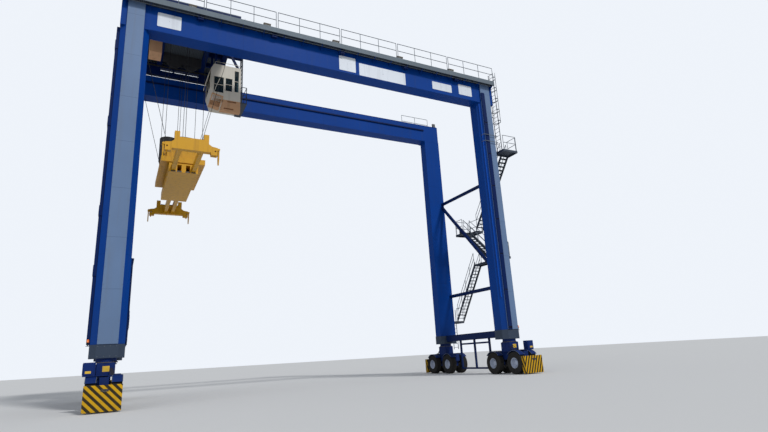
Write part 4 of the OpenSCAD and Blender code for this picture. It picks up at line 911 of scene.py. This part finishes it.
cab_x = trolley_x + 1.45
seat_x = cab_x + 0.85
cab_floor = 17.66
cushion("seat_base", (seat_x, 0, 18.1), (0.26, 0.27, 0.08))
cushion("seat_back", (seat_x + 0.27, 0, 18.5), (0.08, 0.26, 0.36))
cushion("seat_head", (seat_x + 0.29, 0, 18.98), (0.06, 0.15, 0.1))
blocks("seat_stand", [[(seat_x - 0.15, -0.15, cab_floor), (seat_x + 0.15, 0.15, 18.03)],
                      [(seat_x - 0.42, -0.5, 18.2), (seat_x + 0.12, -0.33, 18.33)],
                      [(seat_x - 0.42, 0.33, 18.2), (seat_x + 0.12, 0.5, 18.33)],
                      [(seat_x - 0.4, -0.47, cab_floor), (seat_x - 0.1, -0.36, 18.2)],
                      [(seat_x - 0.4, 0.36, cab_floor), (seat_x - 0.1, 0.47, 18.2)]],
       "trolley", black, 0.02)
print("seat at x", round(seat_x, 3))

# %% Window frames and wipers
windows = [(1.65, 2.25, 18.03, 19.13), (2.35, 2.78, 18.22, 19.13), (2.9, 3.18, 18.24, 19.75)]
frames = []
for side in (-1, 1):
    for x0, x1, z0, z1 in windows:
        x0, x1, z_bar = trolley_x + x0, trolley_x + x1, (z0 + z1) / 2
        frames += [[(xa, side * 1.0, za), (xb, side * 1.014, zb)] for xa, xb, za, zb in (
            (x0 - 0.03, x1 + 0.03, z0 - 0.03, z0 + 0.012),
            (x0 - 0.03, x1 + 0.03, z1 - 0.012, z1 + 0.03),
            (x0 - 0.03, x0 + 0.012, z0, z1), (x1 - 0.012, x1 + 0.03, z0, z1),
            (x0, x1, z_bar - 0.014, z_bar + 0.014))]
frames += [[(cab_x - 0.012, y, 18.36), (cab_x, y + 0.024, 19.6)]
           for y in (-0.85, -0.29, 0.27, 0.83)]
frames.append([(cab_x - 0.012, -0.87, 18.93), (cab_x, 0.87, 18.955)])
blocks("window_frames", frames, "trolley", cream, 0.003)
on_cab = np.array((cab_x, 0, 0))
tubes("wipers", [on_cab + [(-0.03, y, 18.42), (-0.035, y + 0.16, 18.75), (-0.03, y + 0.3, 19.1)]
                 for y in (-0.6, 0.0)], 0.008, "trolley", black, 8)
print("frame bars", len(frames))

# %% Roof, guard bars and stays
rail = on_cab + [(0.25, -0.95, 20.0), (0.25, -0.95, 20.16), (0.29, -0.95, 20.2),
                 (1.75, -0.95, 20.2), (1.79, -0.95, 20.16), (1.79, -0.95, 20.0)]
tubes("roof_rails", [rail, rail * (1, -1, 1)], 0.016, "trolley", cream, 8)
blocks("roof_cooler", [on_cab + [(0.75, -0.45, 20.0), (1.45, 0.45, 20.26)]], "trolley",
       cream, 0.03)
blocks("cooler_slats", [on_cab + [(0.8, -0.456, z), (1.4, -0.448, z + 0.012)]
                        for z in np.arange(20.05, 20.22, 0.03)], "trolley", black, 0.002)
tubes("guard_bars", [on_cab + [(0.16 + 0.555 * t, -1.02, 17.86 - 0.115 * t),
                               (0.07 + 0.54 * t, -1.022, 17.5 - 0.12 * t),
                               (-0.01 + 0.53 * t, -1.02, 17.13 - 0.13 * t)]
                     for t in np.linspace(0.15, 0.85, 5)], 0.012, "trolley", tan, 6)
tubes("guard_stays", [on_cab + [(0.17, -1.02, 17.86), (0.09, -1.02, 18.5), (0.04, -1.02, 19.1)],
                      on_cab + [(0.2, -1.02, 17.86), (0.34, -1.02, 18.4), (0.55, -1.02, 19.0)]],
      0.018, "trolley", cream, 8)
rail_length = np.linalg.norm(np.diff(rail, axis=0), axis=1).sum()
print("a roof rail is", round(float(rail_length), 2), "m long")

# %% [markdown]
# ## Trolley machinery
# The drum is already turned in CAD. Here come the rope laid on it, the
# cooling fins of the motor, stiffeners on the frame and the cable pipes
# along it. A ribbed cylinder could stand for the rope, but one long helix
# has the real slope of each turn.

# %% Drum rope and motor fins
drum_x, winch_z = trolley_x - 1.6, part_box("hoist_winch")[0][2]
rope_turns, lay_r = 26, 0.312
turns = np.linspace(0, 2 * np.pi * rope_turns, rope_turns * 22)
tubes("drum_rope", [join(drum_x + lay_r * np.cos(turns), -1.22 + 2.44 * turns / turns[-1],
                         winch_z + 0.5 + lay_r * np.sin(turns))], 0.012, "trolley", rope, 6)
a = circle(36)
fin_rows = [join(drum_x - 0.68 + 0.017 * k + edge, 1.79 + r * np.cos(a),
                 winch_z + 0.33 + r * np.sin(a))
            for k in range(16) for r in (0.222 if k % 2 else 0.236,) for edge in (0, 0.008)]
grid_piece("motor_fins", np.array(fin_rows), "trolley", steel, close_cols=True, smooth=False)
print("rope on the drum", round(2 * math.pi * lay_r * rope_turns, 1), "m")

# %% Frame stiffeners and pipes
frame_low, frame_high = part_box("trolley_frame")
web, rib = 3.7, 0.012
stiff = []
for side in (-1, 1):
    for x in np.arange(frame_low[0] + 0.35, frame_high[0] - 0.2, 0.62):
        stiff.append([(x, side * web, frame_high[2] - 0.27),
                      (x + rib, side * (web + rib), frame_high[2] - 0.03)])
        if abs(x - trolley_x) > 1.3:
            stiff.append([(x, side * web, 21.04), (x + rib, side * (web + rib), 21.31)])
blocks("frame_stiffeners", stiff, "trolley", dark_blue, 0.002)
u = np.linspace(0, 1, 60)
tubes("frame_pipes", [join(frame_low[0] + 0.2 + u * 5.2, 3.20 - 0.055 * k,
                           frame_high[2] - 0.335) for k in range(4)], 0.016, "trolley",
      black, 8)
print("stiffeners", len(stiff))

# %% [markdown]
# ## Hoist ropes
# A rope hangs from the trolley down to the spreader. It is cut into lengths,
# with the cuts closer together near both ends, and each length stays
# straight.

# %% Ends of the ropes
rope_bottom, rope_top = (corner[2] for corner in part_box("hoist_ropes"))
sheave_x, sheave_y, fall_x = 0.53, 1.9, 0.4643
slant_y, slant_low, rope_r = 2.15, 0.8, 0.014
rope_ends = []
for sy in (-1, 1):
    for sx, slant_top in ((-1, -2.85), (1, 2.55)):
        for k in (-1, 1):
            x = trolley_x + sx * sheave_x + k * fall_x
            rope_ends.append([(x, sy * sheave_y, rope_top), (x, sy * sheave_y, rope_bottom)])
        rope_ends.append([(trolley_x + slant_top, sy * slant_y, rope_top),
                          (trolley_x + sx * slant_low, sy * slant_y, rope_bottom)])
rope_ends = np.array(rope_ends)
print("ropes", len(rope_ends), "from", round(rope_top, 2), "down to", round(rope_bottom, 2))


rope_cuts = (0, 0.008, 0.035, 0.12, 0.3, 0.5, 0.7, 0.88, 0.965, 0.992, 1)
for k, (t0, t1) in enumerate(zip(rope_cuts, rope_cuts[1:])):
    down = np.linspace(t0, t1, 12)[:, None]
    length = tubes(f"hoist_ropes_{k}", [a + (b - a) * down for a, b in rope_ends], rope_r,
                   None, rope, 8)
    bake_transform(length)
    if k == 0:
        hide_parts("hoist_ropes")
print("lengths", len(rope_cuts) - 1)

# %% [markdown]
# ## Spreader
# Hydraulic hoses feed the flippers and the twistlocks, ribs stiffen the end
# beams, and bolts hold the headblock. A wear plate shows bare steel where
# the telescopic beams leave the middle frame. Hoops and posts make the
# basket in which the power cable lies coiled: a helix whose radius swings a
# little, because a cable never drops in even rings.

# %% Arms, wear plates and headblock
spread_z, beam_face = 11.69, 5.79
v = np.linspace(0, 1, 40)
for end, word in ends:
    body = word + "_arm"
    blocks(f"{body}_ribs", [[(trolley_x + x - 0.008, end * beam_face, spread_z + 0.02),
                             (trolley_x + x + 0.008, end * (beam_face - 0.012),
                              spread_z + 0.62)] for x in (-0.45, -0.15, 0.15, 0.45)],
           body, yellow, 0.002)
    tubes(f"{body}_hoses", [join(trolley_x - 0.54 + 1.08 * v, end * (5.99 - 0.06 * k),
                                 spread_z + 0.785 + 0.012 * np.sin(v * 7 + k))
                            for k in range(4)], 0.024, body, black, 8)
blocks("frame_wear_plates", [[(trolley_x + s * beam_x - 0.126, end * 2.7, spread_z + 0.17),
                              (trolley_x + s * beam_x + 0.126, end * 2.712, spread_z + 0.232)]
                             for end in (-1, 1) for beam_x in (0.52, 0.22) for s in (-1, 1)],
       "spreader", steel, 0.002)
blocks("valve_boxes", [[(trolley_x - 0.7, -0.8, 12.35), (trolley_x - 0.1, 0.1, 12.52)],
                       [(trolley_x + 0.15, 0.35, 12.35), (trolley_x + 0.72, 1.1, 12.5)]],
       "spreader", dark_blue, 0.012)
tubes("frame_hoses", [join(trolley_x - 0.6 + 0.22 * k + 0.05 * np.sin(v * 6 + k),
                           -2.55 + 1.75 * v, 12.37 + 0.03 * np.sin(v * np.pi))
                      for k in range(5)], 0.014, "spreader", black, 8)
bolts("headblock_bolts", [(trolley_x + x, y, 12.85) for x in (-1.08, 1.08)
                          for y in np.arange(-2.2, 2.21, 0.4)
                          if not (x < 0 and -1.5 < y < -0.5)],
      (0, 0, 1), 0.02, 0.014, "spreader", steel)
print("arms", len(ends), "at z", spread_z)

# %% Basket and coiled cable
basket_x, basket_y, basket_r = trolley_x - 0.75, -1.0, 0.452
a = np.linspace(0, 2 * np.pi, 64)
tubes("basket_hoops", [join(basket_x + basket_r * np.cos(a), basket_y + basket_r * np.sin(a), z)
                       for z in (13.0, 13.35, 13.7, 14.05, 14.38)],
      0.012, "spreader", steel, 6)
tubes("basket_posts", [join(basket_x + basket_r * math.cos(q),
                            basket_y + basket_r * math.sin(q), 12.98 + 1.4 * v)
                       for q in circle(14)], 0.008, "spreader", steel, 6)
coil = np.linspace(0, 2 * np.pi * 7, 260)
coil_r = 0.36 - 0.02 * np.sin(coil * 0.31)
tubes("basket_cable", [join(basket_x + coil_r * np.cos(coil), basket_y + coil_r * np.sin(coil),
                            14.135 + 0.03 * coil / 6.283)], 0.016, "spreader", black, 8)
print("coil about", round(float(coil_r.mean() * coil[-1]), 1), "m long")

# %% [markdown]
# ## Girder details
# The trolley rails are held down by clips on both sides, in pairs, and cable
# trays run along the inner faces of the girders. An Array modifier could
# repeat a clip. One mesh of boxes needs no modifier and is as easy to read.

# %% Rail clips and inner cable trays
rail_y, tray_low = 3.55, 20.2
blocks("rail_clips", [[(x, side * rail_y + dy, girder_top),
                       (x + 0.06, side * rail_y + dy + 0.04, girder_top + 0.03)]
                      for side in (-1, 1)
                      for x in np.arange(middle_x - 12.0, middle_x + 12.01, 0.6)
                      for dy in (-0.095, 0.055)], "portal", steel, 0)
blocks("girder_trays", [[(middle_x - 11.0, y, tray_low),
                         (middle_x + 11.0, y + width, tray_low + height)]
                        for y in (-3.3, 3.22)
                        for width, height in ((0.08, 0.015), (0.012, 0.1))],
       "portal", dark_blue, 0.002)
tray_x = np.linspace(middle_x - 10.9, middle_x + 10.9, 80)
tubes("girder_cables", [join(tray_x, side * (3.245 + 0.018 * k)
                             + 0.002 * np.sin(tray_x * 3 + k), tray_low + 0.028)
                        for side in (-1, 1) for k in range(3)], 0.009, "portal", black, 6)
print("cables in the trays", round(float(tray_x[-1] - tray_x[0]), 2), "m")

# %% [markdown]
# ## Desk and lattice
# Two desks stand beside the seat, with a stick on each side. A dark lattice
# stands behind the cabin: round bars that zigzag across each other. A
# texture with holes would do from afar, but bars also have a thickness.

# %% Desk, sticks and lattice bars
desk_x = cab_x + 0.32
blocks("operator_desk", [[(desk_x, -0.75, cab_floor), (desk_x + 0.2, -0.3, 18.32)],
                         [(desk_x, 0.3, cab_floor), (desk_x + 0.2, 0.75, 18.32)],
                         [(desk_x + 0.02, -0.72, 18.32), (desk_x + 0.05, -0.34, 18.6)]],
       "trolley", black, 0.02)
tubes("control_sticks", [[(seat_x - 0.32, y, 18.33), (seat_x - 0.33, y, 18.42),
                          (seat_x - 0.35, y, 18.5)] for y in (-0.42, 0.42)],
      0.014, "trolley", black, 8)
lattice_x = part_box("cabin_platform")[1][0] - 0.09
zig = np.linspace(17.7, frame_high[2] - 0.12, 27)
bars_y = 0.15 + 0.7 * (np.arange(27) % 2)
tubes("cabin_lattice", [join(lattice_x, y, zig) for y in (bars_y, 1.0 - bars_y)], 0.012,
      "trolley", black, 6)
print("lattice at x", round(lattice_x, 3))

# %% [markdown]
# ## Small things on the walkways
# Junction boxes hang under the walkway beside each floodlight, and two bent
# bars guard the leg at the top platform. A bent bar is a tube whose path has
# its corners replaced by short quadratic curves.

# %% Walkway boxes and guard bars
def rounded(points, radius=0.12, count=6):
    """Path with each inner corner replaced by a short quadratic curve."""
    p = np.asarray(points, float)
    mid = p[1:-1]
    a, b = (mid + (q - mid) * (radius / np.linalg.norm(q - mid, axis=1))[:, None]
            for q in (p[:-2], p[2:]))
    t = np.linspace(0, 1, count)[None, :, None]
    curve = (1 - t) ** 2 * a[:, None] + 2 * t * (1 - t) * mid[:, None] + t ** 2 * b[:, None]
    return np.concatenate([p[:1], curve.reshape(-1, 3), p[-1:]])


blocks("walkway_boxes", [[(middle_x + x + 0.3, -4.48, girder_top - 0.26),
                          (middle_x + x + 0.62, -4.28, girder_top - 0.03)] for x in lamp_x],
       "portal", dark_blue, 0.01)
wrap = rounded([(leg_xs[1] + 0.62, -3.35, 16.62), (leg_xs[1] + 0.62, -4.42, 16.62),
                (leg_xs[1] - 0.66, -4.42, 16.62), (leg_xs[1] - 0.66, -4.12, 16.62)])
tubes("platform_wrap", [wrap, wrap - (0, 0, 0.5)], 0.022, "portal", zinc, 8)
